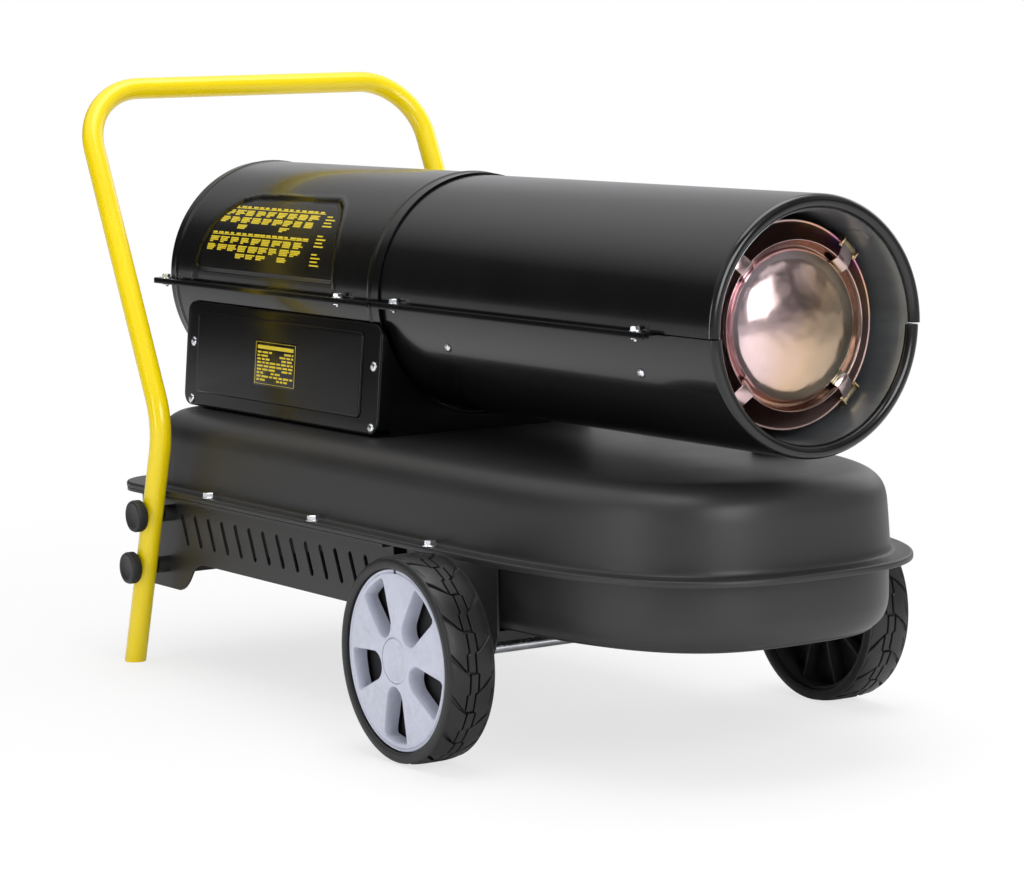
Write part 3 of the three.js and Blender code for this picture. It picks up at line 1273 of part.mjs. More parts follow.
// A channel under the pan with a cheek plate up each side of it, bolted to the flange.
function axleBracket() {
  const roof = PAN_BOTTOM - FIT_GAP;
  const cheek = [
    [-30, WHEEL_RADIUS - 12], [30, WHEEL_RADIUS - 12], [46, roof], [46, SKIRT_TOP], [-80, SKIRT_TOP],
    [-80, SKIRT_TOP - 30], [-46, roof],
  ];
  const outer = BRACKET_FACE + BRACKET_SHEET;
  const cheeks = bothSides((side) => plateY(cheek, ...between(side, BRACKET_FACE, outer)));
  const ears = bothSides((side) => (
    box(-80, -34, ...between(side, BRACKET_FACE, FLANGE.half - 0.6),
      SKIRT_TOP - SKIRT_FLANGE_THICKNESS, SKIRT_TOP)));
  const channel = [
    box(-22, 22, -outer + 1, outer - 1, roof - BRACKET_SHEET, roof),
    box(-22, -22 + BRACKET_SHEET, -outer + 1, outer - 1, roof - 10, roof - 1),
    box(22 - BRACKET_SHEET, 22, -outer + 1, outer - 1, roof - 10, roof - 1),
  ];
  const bore = rodY(AXLE_RADIUS + FIT_GAP, -BEYOND, BEYOND).translate(0, 0, WHEEL_RADIUS);
  return cut(join(...cheeks, ...ears, ...channel), bore, ...boltHoles([BRACKET_BOLT_X]));
}

const WHEEL_SIDES = 28;

// The wheel's pieces lie along Y about the wheel's middle, with the outer face towards -Y.
function tyre() {
  const flatShare = Math.cos(Math.PI / WHEEL_SIDES);
  const full = WHEEL_RADIUS / flatShare;
  const seat = (HUB_RADIUS + FIT_GAP) / flatShare;
  const half = TYRE_WIDTH / 2;
  return turnedY([
    [seat, -half], [full - 5, -half], [full - 1.5, -half + 2.5], [full, -half + 7],
    [full, half - 7], [full - 1.5, half - 2.5], [full - 5, half], [seat, half],
  ], WHEEL_SIDES, true);
}

// One window of the hub, between an inner and an outer arc, leaning like a blade.
function hubWindow(turnDeg) {
  const points = [
    ...arcPoints(0, 0, 73, 4, 40, 3),
    ...arcPoints(0, 0, 30, 34, 12, 1),
    [45, 1],
  ];
  const window = plateY(points, -TYRE_WIDTH, TYRE_WIDTH);
  return window.rotateY(-THREE.MathUtils.degToRad(turnDeg));
}

function wheelHub() {
  const face = -TYRE_WIDTH / 2 + HUB_FACE_RECESS;
  const back = TYRE_WIDTH / 2 - 4;
  const bore = AXLE_RADIUS + RUN_GAP;
  const cup = CAP_RADIUS + 1;
  const shell = turnedY([
    [bore, -HUB_BOSS_OUT], [cup, -HUB_BOSS_OUT], [cup, face], [HUB_RADIUS, face], [HUB_RADIUS, back],
    [HUB_RADIUS - 4, back], [HUB_RADIUS - 4, face + 5], [cup + 4, face + 5],
    [cup + 3, -HUB_BOSS_OUT + 4], [HUB_BOSS_RADIUS, -HUB_BOSS_OUT + 4], [HUB_BOSS_RADIUS, HUB_BOSS_IN],
    [bore, HUB_BOSS_IN],
  ], 20);
  const spokes = Array.from({ length: 5 }, (_, i) => (
    box(-2, 2, face + 4, back - 8, cup + 1, HUB_RADIUS - 2)
      .rotateY(THREE.MathUtils.degToRad(72 * i + 20))));
  const windows = Array.from({ length: 5 }, (_, i) => hubWindow(72 * i + 6));
  return cut(join(shell, ...spokes), ...windows);
}

function hubCap() {
  const face = -TYRE_WIDTH / 2 + HUB_FACE_RECESS;
  const radius = CAP_RADIUS + 1 - FIT_GAP;
  return turnedY([
    [0, face - 1.2], [radius - 1.5, face - 1.2], [radius, face], [radius, face + 8 - FIT_GAP],
    [radius - 2, face + 8 - FIT_GAP], [radius - 2, face + 1.3], [0, face + 1.3],
  ], 20);
}

function wheel(side, name) {
  const assembly = group(
    piece(`tyre_${name}`, tyre(), rubber()),
    piece(`wheel_hub_${name}`, wheelHub(), palePlastic()),
    piece(`hub_cap_${name}`, hubCap(), palePlastic()));
  assembly.position.set(0, side * TYRE_MIDDLE, WHEEL_RADIUS);
  if (side > 0) assembly.rotation.z = Math.PI;
  return assembly;
}

// ---------------------------------------------------------------- fasteners

// Hexagon head standing on z = 0, shank and nut below.
function hexBolt(radius, head, shankEnd, nutTop) {
  return join(
    rodZ(head, 0, radius * 1.7, 6),
    rodZ(radius, shankEnd, 1, 6),
    rodZ(head, nutTop - radius * 1.5, nutTop, 6));
}

function flangeBolts() {
  const nutTop = SKIRT_TOP - SKIRT_FLANGE_THICKNESS - FIT_GAP - FLANGE_TOP - FIT_GAP;
  const places = { rear: SKIRT_BOLTS_X[0], middle: SKIRT_BOLTS_X[1], front: BRACKET_BOLT_X };
  return bothSides((side) => Object.entries(places).map(([place, x]) => {
    const bolt = hexBolt(BOLT_RADIUS, 5.8, -18, nutTop);
    const mesh = piece(`flange_bolt_${SIDE_NAMES[side]}_${place}`, bolt, zinc());
    return at(mesh, x, side * BOLT_Y, FLANGE_TOP + FIT_GAP);
  }));
}

// A pan head standing on z = 0 with its shank below.
function panScrew(shank) {
  return join(turnedZ([[0, 0], [4.6, 0], [3, 3], [0, 3]], 8), rodZ(SCREW_RADIUS, -shank, 1, 5));
}

// ---------------------------------------------------------------- assembly

// The near or far cover's own plane, hinged at the box's lower edge and leaning in to the barrel.
function coverPlane(side, ...children) {
  const leaning = group(...children);
  leaning.rotation.x = Math.PI / 2 - COVER_TILT;
  const turned = group(leaning);
  turned.position.set((BOX_REAR + BOX_FRONT) / 2, side * BOX_HALF_BOTTOM, COVER_FOOT);
  if (side > 0) turned.rotation.z = Math.PI;
  return turned;
}

const barrel = group(
  piece('rear_upper_casing', rearUpperCasing(), glossBlack()),
  piece('rear_lower_casing', rearLowerCasing(), glossBlack()),
  piece('front_upper_casing', frontUpperCasing(), glossBlack()),
  piece('front_lower_casing', frontLowerCasing(), glossBlack()),
  piece('rear_grille', rearGrille(), blackPlastic()),
  piece('inner_liner', innerLiner(), greySteel()),
  piece('combustion_chamber', combustionChamber(), greySteel()),
  piece('flame_diffuser', flameDiffuser(), tintedSteel()),
  piece('burner_head', burnerHead(), greySteel()),
  piece('fuel_nozzle', fuelNozzle(), brass()),
  piece('spark_electrode', sparkElectrode(), paint(0xf0ece0, 0.4, 0)),
  piece('flame_sensor', flameSensor(), blackPlastic()),
  piece('fan_impeller', fanImpeller(), aluminium()),
  piece('motor_shaft', motorShaft(), greySteel()),
  piece('fan_motor', fanMotor(), satinBlack()),
  piece('motor_bracket', motorBracket(), zinc()),
  piece('air_pump_body', airPumpBody(), aluminium()),
  piece('pump_rotor', pumpRotor(), paint(0x303234, 0.6, 0)),
  piece('air_filter_cover', airFilterCover(), blackPlastic()),
  piece('air_hose', airHose(), paint(0x2a2a2c, 0.6, 0)),
  piece('fuel_hose', fuelHose(), paint(0x8a6a3a, 0.4, 0)),
  piece('ignition_lead', ignitionLead(), paint(0x8c1f1a, 0.5, 0)));
barrel.position.z = BARREL_AXIS_HEIGHT;

const nearCover = coverPlane(-1,
  piece('side_box_cover', sideBoxCover(), glossBlack()));

const farCover = coverPlane(1,
  piece('control_panel', controlPanel(), glossBlack()),
  at(piece('power_switch_housing', switchHousing(), blackPlastic()), SWITCH_AT.x, SWITCH_AT.y, 0),
  at(piece('power_switch_rocker', switchRocker(), paint(0xb02018, 0.4, 0)), SWITCH_AT.x, SWITCH_AT.y, 0),
  at(piece('thermostat_body', thermostatBody(), aluminium()), KNOB_AT.x, KNOB_AT.y, 0),
  at(piece('thermostat_knob', thermostatKnob(), blackPlastic()), KNOB_AT.x, KNOB_AT.y, 0));

const sideBox = group(
  piece('side_box_body', sideBoxBody(), glossBlack()),
  piece('cord_gland', cordGland(), blackPlastic()),
  piece('ignition_transformer', ignitionTransformer(), paint(0x1d2a4a, 0.6, 0)),
  piece('control_board', controlBoard(), paint(0x1f5a34, 0.5, 0)),
  nearCover,
  farCover);

const tank = group(
  piece('tank_upper_shell', tankUpperShell(), satinBlack()),
  piece('tank_lower_shell', tankLowerShell(), satinBlack()),
  piece('filler_neck', fillerNeck(), zinc()),
  piece('filler_cap', fillerCap(), blackPlastic()),
  piece('cap_gasket', capGasket(), rubber()),
  piece('fuel_gauge', fuelGauge(), blackPlastic()),
  piece('fuel_pickup', fuelPickup(), brass()),
  piece('drain_plug', drainPlug(), zinc()),
  ...flangeBolts());

const base = group(
  piece('base_skirt', baseSkirt(), satinBlack()),
  piece('handle_tube', handleTube(), yellowPaint()),
  ...clampKnobs());

const runningGear = group(
  piece('axle', axle(), zinc()),
  piece('axle_bracket', axleBracket(), satinBlack()),
  wheel(-1, 'near'),
  wheel(1, 'far'));

const heater = group(barrel, sideBox, tank, base, runningGear);
const rearEnd = CROSSBAR.x - TUBE_RADIUS;
heater.position.x = -(rearEnd + FLANGE.tip) / 2;
heater.updateMatrixWorld(true);

export default heater;
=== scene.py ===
import bmesh
import bpy
import math
import random
from mathutils import Matrix, Vector
from mathutils.geometry import delaunay_2d_cdt, tessellate_polygon


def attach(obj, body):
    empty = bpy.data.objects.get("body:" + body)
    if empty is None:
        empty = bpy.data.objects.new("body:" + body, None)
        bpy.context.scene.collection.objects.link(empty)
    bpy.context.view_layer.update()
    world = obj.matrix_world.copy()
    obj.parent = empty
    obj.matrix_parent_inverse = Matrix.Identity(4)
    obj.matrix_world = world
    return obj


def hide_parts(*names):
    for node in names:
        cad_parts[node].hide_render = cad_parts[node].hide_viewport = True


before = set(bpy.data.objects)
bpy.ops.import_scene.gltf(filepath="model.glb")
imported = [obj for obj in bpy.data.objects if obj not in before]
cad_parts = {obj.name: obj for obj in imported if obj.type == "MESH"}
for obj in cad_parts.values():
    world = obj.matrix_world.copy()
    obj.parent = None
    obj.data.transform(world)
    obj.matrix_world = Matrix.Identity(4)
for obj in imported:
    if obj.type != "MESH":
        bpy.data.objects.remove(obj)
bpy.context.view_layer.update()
random.seed(7)

# Sizes are millimetres with x = 0 at the wheel axle, as in the part's source. The last step to
# metres moves x by SHIFT, to the middle of the length.
SHIFT = 217.85
ORIGIN = SHIFT / 1000
AXIS_Z = 418.0
SEAM = -3.0
REAR_R = 124.5
LOWER_R = 120.2
POST_ANGLE = 20.5
SHEET = 1.5
SIDES = ((-1, "near"), (1, "far"))
AXLE_Z, WHEEL_Y = 100, 249.5


# ------------------------------------------------------------------ camera

CAMERA_TURN = (56.45, -7.03, -0.96)  # yaw, pitch and roll in degrees
CAMERA_PLACE = (3.03334, -2.00414, 0.71299)
FOCAL_PIXELS, PHOTO_WIDTH, SENSOR = 3546.17, 1024, 36


def look():
    """The camera that the photo was taken with, as fitted to the wheels, the barrel and the handle."""
    yaw, pitch, roll = (math.radians(a) for a in CAMERA_TURN)
    ahead = Vector((-math.sin(yaw) * math.cos(pitch), math.cos(yaw) * math.cos(pitch), math.sin(pitch)))
    right = ahead.cross(Vector((0, 0, 1))).normalized()
    up = right.cross(ahead)
    c, s = math.cos(roll), math.sin(roll)
    x, y = c * right + s * up, c * up - s * right
    data = bpy.data.cameras.new("camera")
    data.sensor_width = SENSOR
    data.lens = FOCAL_PIXELS / PHOTO_WIDTH * SENSOR
    camera = bpy.data.objects.new("camera", data)
    turned = Matrix((x, y, -ahead)).transposed().to_4x4()
    camera.matrix_world = Matrix.Translation(CAMERA_PLACE) @ turned
    bpy.context.collection.objects.link(camera)
    bpy.context.scene.camera = camera


look()
bpy.context.scene.view_settings.view_transform = "Standard"


# ------------------------------------------------------------------ materials

class Tree:
    """A node tree, with short calls for the nodes used here."""

    def __init__(self, tree, place="Object"):
        self.tree = tree
        self.place = self.new("ShaderNodeTexCoord").outputs[place]

    def new(self, kind, **settings):
        node = self.tree.nodes.new(kind)
        for key, value in settings.items():
            setattr(node, key, value)
        return node

    def link(self, a, b):
        self.tree.links.new(a, b)

    def noise(self, scale, detail=3.0, rough=0.55, stretch=(1, 1, 1)):
        mapping = self.new("ShaderNodeMapping")
        mapping.inputs["Scale"].default_value = stretch
        self.link(self.place, mapping.inputs["Vector"])
        node = self.new("ShaderNodeTexNoise")
        node.inputs["Scale"].default_value = scale
        node.inputs["Detail"].default_value = detail
        node.inputs["Roughness"].default_value = rough
        self.link(mapping.outputs["Vector"], node.inputs["Vector"])
        return node.outputs["Fac"]

    def ramp(self, value, stops):
        node = self.new("ShaderNodeValToRGB")
        elements = node.color_ramp.elements
        while len(elements) < len(stops):
            elements.new(0.5)
        for element, (at, color) in zip(elements, stops):
            element.position = at
            element.color = (*color, 1)
        self.link(value, node.inputs["Fac"])
        return node.outputs["Color"]

    def span(self, value, low, high, to_low=0.0, to_high=1.0):
        node = self.new("ShaderNodeMapRange")
        for key, number in zip(("From Min", "From Max", "To Min", "To Max"), (low, high, to_low, to_high)):
            node.inputs[key].default_value = number
        self.link(value, node.inputs["Value"])
        return node.outputs["Result"]

    def math(self, operation, a, b=0.0):
        node = self.new("ShaderNodeMath", operation=operation)
        for socket, value in zip(node.inputs, (a, b)):
            if isinstance(value, (int, float)):
                socket.default_value = value
            else:
                self.link(value, socket)
        return node.outputs["Value"]

    def mix(self, factor, a, b):
        node = self.new("ShaderNodeMix", data_type="RGBA")
        pairs = ((node.inputs["Factor"], factor), (node.inputs[6], a), (node.inputs[7], b))
        for socket, value in pairs:
            if isinstance(value, tuple):
                socket.default_value = (*value, 1)
            elif isinstance(value, float):
                socket.default_value = value
            else:
                self.link(value, socket)
        return node.outputs[2]


class Nodes(Tree):
    """A new material's node tree, with calls for the sockets of its shader."""

    def __init__(self, name):
        self.material = bpy.data.materials.new(name)
        self.material.use_nodes = True
        super().__init__(self.material.node_tree)
        self.shader = self.tree.nodes["Principled BSDF"]

    def bump(self, height, strength, distance=0.0005):
        node = self.new("ShaderNodeBump")
        node.inputs["Strength"].default_value = strength
        node.inputs["Distance"].default_value = distance
        self.link(height, node.inputs["Height"])
        self.link(node.outputs["Normal"], self.shader.inputs["Normal"])

    def set(self, **values):
        for key, value in values.items():
            self.shader.inputs[key.replace("_", " ")].default_value = value

    def color(self, socket):
        self.link(socket, self.shader.inputs["Base Color"])

    def rough(self, socket):
        self.link(socket, self.shader.inputs["Roughness"])


def shade(color, factor):
    return tuple(min(c * factor, 1.0) for c in color)


def surface(name, color, rough, metal=0.0, vary=0.12, patch=9.0, grain=900.0, bump=0.12,
            swing=0.06, spread=(1, 1, 1), wear=None, wear_at=0.62, **settings):
    """A finish with slow colour patches, fine grain in gloss and height, and worn or dusty spots."""
    n = Nodes(name)
    slow = n.noise(patch, 4.0, 0.6, spread)
    fine = n.noise(grain, 3.0, 0.6, spread)
    tone = n.ramp(slow, [(0.3, shade(color, 1 - vary)), (0.7, shade(color, 1 + vary))])
    if wear:
        spots = n.noise(patch * 9, 6.0, 0.7, spread)
        tone = n.mix(n.span(spots, wear_at, wear_at + 0.12, 0.0, 0.5), tone, wear)
    n.color(tone)
    both = n.math("ADD", n.math("MULTIPLY", slow, 0.6), n.math("MULTIPLY", fine, 0.4))
    n.rough(n.span(both, 0.3, 0.7, rough - swing, rough + swing))
    n.bump(fine, bump)
    n.set(Metallic=metal, **settings)
    return n.material


def heat_tint(name, colors, centre, reach, rough, streak=(1, 1, 1), swirl=14.0, metal=1.0):
    """Steel that heat has coloured: bands by the distance from a point on the axis, broken by noise."""
    n = Nodes(name)
    away = n.new("ShaderNodeVectorMath", operation="DISTANCE")
    n.link(n.place, away.inputs[0])
    away.inputs[1].default_value = centre
    drift = n.math("MULTIPLY", n.noise(swirl, 4.0, 0.6, streak), reach * 0.9)
    value = n.math("DIVIDE", n.math("ADD", away.outputs["Value"], drift), reach * 1.6)
    tone = n.ramp(value, colors)
    smoke = n.noise(34, 5.0, 0.65)
    n.color(n.mix(n.span(smoke, 0.5, 0.75, 0.0, 0.3), tone, (0.2, 0.15, 0.13)))
    n.rough(n.span(n.noise(60, 5.0, 0.7, streak), 0.3, 0.7, rough - 0.08, rough + 0.12))
    n.bump(n.noise(260, 4.0, 0.6, streak), 0.1, 0.0004)
    n.set(Metallic=metal)
    return n.material


def spreader_tint_and_painted_reflection():
    """Heat-tinted steel of the dome with painted reflections, set by side and height: a pale rose painted
    highlight at the near side, gold across it, olive beyond and low down.
    """
    n = Nodes("heat_tint_and_painted_reflection")
    split = n.new("ShaderNodeSeparateXYZ")
    n.link(n.place, split.inputs["Vector"])
    drift = n.math("MULTIPLY", n.noise(13, 3.0, 0.5), 0.5)
    across = n.math("ADD", n.math("MULTIPLY", split.outputs["Y"], 4.6), drift)
    down = n.math("MULTIPLY", n.math("SUBTRACT", split.outputs["Z"], 0.418), -1.6)
    # Colour by side (y) and height (z), not by heat alone: the pale rose stop at the near side is a painted
    # highlight, and the gold and olive bands are painted reflections laid over the real heat tint.
    tone = n.ramp(n.math("ADD", n.math("ADD", across, down), 0.22), [
        (0.08, (0.82, 0.64, 0.68)), (0.28, (0.64, 0.47, 0.44)), (0.45, (0.6, 0.42, 0.29)),
        (0.6, (0.44, 0.33, 0.23)), (0.78, (0.44, 0.42, 0.32)), (0.97, (0.54, 0.4, 0.42))])
    level = n.new("ShaderNodeVectorMath", operation="DISTANCE")
    n.link(n.place, level.inputs[0])
    level.inputs[1].default_value = (ORIGIN + 0.262, 0, 0.418)
    tone = n.mix(n.span(level.outputs["Value"], 0.0725, 0.0755, 0.0, 0.85), tone, (0.54, 0.39, 0.39))
    smoke = n.noise(55, 5.0, 0.65)
    n.color(n.mix(n.span(smoke, 0.52, 0.75, 0.0, 0.3), tone, (0.4, 0.3, 0.26)))
    n.rough(n.span(n.noise(40, 5.0, 0.65), 0.3, 0.7, 0.12, 0.24))
    n.bump(n.noise(22, 2.0, 0.5), 0.7, 0.003)
    n.set(Metallic=1.0)
    return n.material


FINISHES = {
    "gloss_black": surface("casing_paint", (0.0045, 0.0045, 0.0047), 0.2, vary=0.15, grain=700, bump=0.04,
                           swing=0.04, wear=(0.015, 0.015, 0.015), wear_at=0.67, Specular_IOR_Level=0.42,
                           Coat_Weight=0.25, Coat_Roughness=0.06),
    "box_paint": surface("box_paint", (0.0035, 0.0035, 0.0037), 0.23, vary=0.15, grain=800, bump=0.04,
                         swing=0.03, wear=(0.012, 0.012, 0.012), wear_at=0.67, Specular_IOR_Level=0.3),
    "satin_black": surface("tank_paint", (0.02, 0.0198, 0.0203), 0.43, vary=0.1, grain=1500, bump=0.2,
                           swing=0.05, wear=(0.035, 0.035, 0.035), wear_at=0.67),
    "yellow": surface("yellow_paint", (0.96, 0.73, 0.0), 0.3, vary=0.03, grain=600, bump=0.05,
                      swing=0.05, wear=(0.8, 0.56, 0.01), wear_at=0.68, Coat_Weight=0.3,
                      Coat_Roughness=0.1),
    "zinc": surface("bright_zinc", (0.78, 0.8, 0.83), 0.24, 1.0, vary=0.14, patch=60, grain=1400,
                    bump=0.1, swing=0.09, wear=(0.3, 0.29, 0.26), wear_at=0.6),
    "steel": surface("grey_steel", (0.3, 0.31, 0.32), 0.4, 1.0, vary=0.2, patch=24, grain=700,
                     bump=0.12, swing=0.1, wear=(0.12, 0.11, 0.1)),
    "brass": surface("brass", (0.55, 0.4, 0.17), 0.33, 1.0, vary=0.2, patch=70, grain=900, bump=0.1,
                     swing=0.1, wear=(0.2, 0.13, 0.07)),
    "aluminium": surface("aluminium", (0.52, 0.53, 0.55), 0.4, 1.0, vary=0.12, patch=30, grain=900,
                         bump=0.2, swing=0.1, wear=(0.25, 0.25, 0.25)),
    "black_plastic": surface("black_plastic", (0.014, 0.014, 0.015), 0.48, vary=0.15, patch=40,
                             grain=2200, bump=0.3, swing=0.08, wear=(0.035, 0.035, 0.035)),
    "red_plastic": surface("red_plastic", (0.42, 0.018, 0.012), 0.34, vary=0.1, patch=60, grain=1600,
                           bump=0.1),
    "pale_plastic": surface("pale_plastic", (0.6, 0.62, 0.73), 0.28, vary=0.05, patch=30, grain=1500,
                            bump=0.1, swing=0.06, wear=(0.4, 0.4, 0.49), wear_at=0.68),
    "tyre": surface("tyre_rubber", (0.009, 0.009, 0.0095), 0.42, vary=0.25, patch=26, grain=1100,
                    bump=0.3, swing=0.1, wear=(0.045, 0.044, 0.042), wear_at=0.62),
    "seal": surface("seal_rubber", (0.02, 0.02, 0.02), 0.7, vary=0.2, patch=60, grain=1500, bump=0.3),
    "ceramic": surface("ceramic", (0.75, 0.72, 0.65), 0.25, vary=0.06, patch=80, grain=1200, bump=0.05,
                       wear=(0.4, 0.35, 0.28)),
    "carbon": surface("carbon", (0.03, 0.03, 0.032), 0.6, vary=0.2, patch=80, grain=1500, bump=0.2),
    "hose": surface("hose", (0.03, 0.03, 0.032), 0.5, vary=0.15, patch=40, grain=900, bump=0.15),
    "fuel_hose": surface("fuel_hose", (0.32, 0.19, 0.07), 0.35, vary=0.15, patch=40, grain=900, bump=0.1),
    "lead": surface("lead_sheath", (0.26, 0.02, 0.015), 0.45, vary=0.1, patch=50, grain=1000, bump=0.1),
    "case": surface("transformer_case", (0.02, 0.035, 0.1), 0.5, vary=0.15, patch=40, grain=900, bump=0.2),
    "board": surface("circuit_board", (0.015, 0.13, 0.045), 0.4, vary=0.15, patch=90, grain=900, bump=0.1),
    "label": surface("label_film", (0.006, 0.006, 0.006), 0.22, vary=0.1, patch=30, grain=500, bump=0.03,
                     swing=0.03),
    "print": surface("label_print", (0.78, 0.6, 0.03), 0.4, vary=0.08, patch=90, grain=1200, bump=0.05),
    "dial": surface("dial_face", (0.72, 0.72, 0.7), 0.4, vary=0.04, patch=90, grain=1200, bump=0.05),
    "liner": surface("liner_steel", (0.25, 0.275, 0.29), 0.36, 0.75, vary=0.2, patch=16, grain=260,
                     bump=0.1, swing=0.08, spread=(0.12, 1, 1), wear=(0.2, 0.2, 0.2)),
}
FINISHES["dome"] = spreader_tint_and_painted_reflection()
FINISHES["chamber"] = heat_tint(
    "flame_tube_steel",
    [(0.3, (0.2, 0.28, 0.8)), (0.42, (0.36, 0.22, 0.62)), (0.52, (0.66, 0.24, 0.36)),
     (0.64, (0.74, 0.42, 0.24)), (0.8, (0.52, 0.36, 0.33))],
    (ORIGIN + 0.268, 0.075, 0.492), 0.085, 0.34, (0.5, 1, 1), 22.0, 0.72)
FINISHES["clip"] = heat_tint(
    "clip_steel", [(0.2, (0.6, 0.46, 0.2)), (0.6, (0.5, 0.36, 0.15)), (0.9, (0.62, 0.48, 0.3))],
    (ORIGIN + 0.262, 0.0, 0.418), 0.1, 0.25)

CARRIED = {
    "axle_bracket": "satin_black", "rear_grille": "black_plastic", "burner_head": "steel",
    "fuel_nozzle": "brass", "spark_electrode": "ceramic", "flame_sensor": "black_plastic",
    "motor_shaft": "steel", "motor_bracket": "zinc", "air_pump_body": "aluminium",
    "pump_rotor": "carbon", "air_hose": "hose", "fuel_hose": "fuel_hose", "ignition_lead": "lead",
    "fuel_pickup": "brass", "ignition_transformer": "case", "control_board": "board",
    "side_box_body": "box_paint", "thermostat_body": "aluminium", "filler_neck": "zinc",
    "cap_gasket": "seal",
}


# ------------------------------------------------------------------ shapes

class Shape:
    """Corners and faces of one piece, in millimetres about the wheel axle."""

    def __init__(self):
        self.points, self.faces, self.kinds = [], [], []

    def add(self, parts, place=None, kind=0):
        points, faces = parts
        base = len(self.points)
        self.points += [place @ Vector(p) if place else Vector(p) for p in points]
        self.faces += [[i + base for i in face] for face in faces]
        self.kinds += [kind] * len(faces)
        return self


def mesh_of(name, shape):
    mesh = bpy.data.meshes.new(name)
    places = [((p.x + SHIFT) / 1000, p.y / 1000, p.z / 1000) for p in shape.points]
    mesh.from_pydata(places, [], shape.faces)
    mesh.polygons.foreach_set("material_index", shape.kinds)
    work = bmesh.new()
    work.from_mesh(mesh)
    bmesh.ops.remove_doubles(work, verts=work.verts, dist=2e-6)
    bmesh.ops.dissolve_degenerate(work, edges=work.edges, dist=1e-6)
    bmesh.ops.recalc_face_normals(work, faces=work.faces)
    work.to_mesh(mesh)
    work.free()
    return mesh


def applied(piece):
    graph = bpy.context.evaluated_depsgraph_get()
    mesh = bpy.data.meshes.new_from_object(piece.evaluated_get(graph))
    piece.modifiers.clear()
    piece.data = mesh


def make(name, shape, finishes, nodes=(), body="frame", smooth=32, bevel=0.0, steps=2, cutter=None):
    """One piece in its first finish's slot, on a body, in the place of the CAD nodes it stands for."""
    finishes = [finishes] if isinstance(finishes, str) else finishes
    piece = bpy.data.objects.new(name, mesh_of(name, shape))
    bpy.context.collection.objects.link(piece)
    if cutter:
        tool = bpy.data.objects.new("cutter", mesh_of("cutter", cutter))
        bpy.context.collection.objects.link(tool)
        cut = piece.modifiers.new("cut", "BOOLEAN")
        cut.object, cut.operation, cut.solver = tool, "DIFFERENCE", "EXACT"
        applied(piece)
        bpy.data.objects.remove(tool)
    if bevel:
        edge = piece.modifiers.new("bevel", "BEVEL")
        edge.width, edge.segments = bevel / 1000, steps
        edge.limit_method, edge.angle_limit = "ANGLE", math.radians(40)
        applied(piece)
    piece.data.materials.clear()
    for key in finishes:
        piece.data.materials.append(FINISHES[key])
    piece.data.polygons.foreach_set("use_smooth", [True] * len(piece.data.polygons))
    piece.data.set_sharp_from_angle(angle=math.radians(smooth))
    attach(piece, body)
    if nodes:
        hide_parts(*([nodes] if isinstance(nodes, str) else nodes))
    return piece


def ring(sides, start=0.0, sweep=360.0):
    """Angles round a circle or along a part of it."""
    count = sides if abs(sweep) >= 360 else sides + 1
    return [math.radians(start + sweep * k / sides) for k in range(count)]


def walls(rings):
    """An open shell through rings of equal length."""
    size = len(rings[0])
    faces = [(k * size + i, k * size + (i + 1) % size, (k + 1) * size + (i + 1) % size, (k + 1) * size + i)
             for k in range(len(rings) - 1) for i in range(size)]
    return [p for r in rings for p in r], faces


def skin(rings):
    """A closed shell through rings of equal length, the first and last closed with a face."""
    points, faces = walls(rings)
    size = len(rings[0])
    return points, faces + [list(range(size)), list(range(len(points) - size, len(points)))]


def revolve(profile, sides=96, start=0.0, sweep=360.0):
    """A closed profile of (radius, x) turned about the X axis; y = r cos, z = r sin of the angle."""
    rings = [[(x, r * math.cos(a), r * math.sin(a)) for r, x in profile] for a in ring(sides, start, sweep)]
    return skin(rings) if abs(sweep) < 360 else walls(rings + rings[:1])


def rod(radius, low, high, sides, bore=0.0):
    return revolve([(bore, low), (radius, low), (radius, high), (bore, high)], sides)


TO_Z = Matrix.Rotation(math.radians(-90), 4, "Y")
TO_Y = Matrix.Rotation(math.radians(90), 4, "Z")
LIFT = Matrix.Translation((0, 0, AXIS_Z))


def at(x, y, z):
    return Matrix.Translation((x, y, z))


def spin(degrees, axis="X"):
    return Matrix.Rotation(math.radians(degrees), 4, axis)


def facing(side):
    """The near side's places as they are, or turned to the far side."""
    return spin(0 if side < 0 else 180, "Z")


def arc(cx, cy, radius, start, end, steps):
    angles = (math.radians(start + (end - start) * i / steps) for i in range(steps + 1))
    return [(cx + radius * math.cos(a), cy + radius * math.sin(a)) for a in angles]


def rounded(x0, x1, y0, y1, radius, steps=6):
    return (arc(x1 - radius, y0 + radius, radius, -90, 0, steps)
            + arc(x1 - radius, y1 - radius, radius, 0, 90, steps)
            + arc(x0 + radius, y1 - radius, radius, 90, 180, steps)
            + arc(x0 + radius, y0 + radius, radius, 180, 270, steps))


def slab(outline, low, high, holes=()):
    """A flat plate: outline and holes in its own x and y, its faces at two heights."""
    loops = [outline, *holes]
    flat = [p for loop in loops for p in loop]
    tops = tessellate_polygon([[Vector((*p, 0)) for p in loop] for loop in loops])
    count = len(flat)
    points = [(x, y, low) for x, y in flat] + [(x, y, high) for x, y in flat]
    faces = [tuple(t) for t in tops] + [tuple(i + count for i in t) for t in tops]
    if len(loops) == 1:
        faces = [list(range(count)), [i + count for i in range(count)]]
    base = 0
    for loop in loops:
        n = len(loop)
        faces += [(base + i, base + (i + 1) % n, base + (i + 1) % n + count, base + i + count)
                  for i in range(n)]
        base += n
    return points, faces


# Plates in the planes that face along X and along Y: their own x, y and height become these.
FACING_X = Matrix(((0, 0, 1, 0), (1, 0, 0, 0), (0, 1, 0, 0), (0, 0, 0, 1)))
FACING_Y = Matrix(((1, 0, 0, 0), (0, 0, -1, 0), (0, 1, 0, 0), (0, 0, 0, 1)))


def block(x0, x1, y0, y1, z0, z1):
    return slab([(x0, y0), (x1, y0), (x1, y1), (x0, y1)], z0, z1)


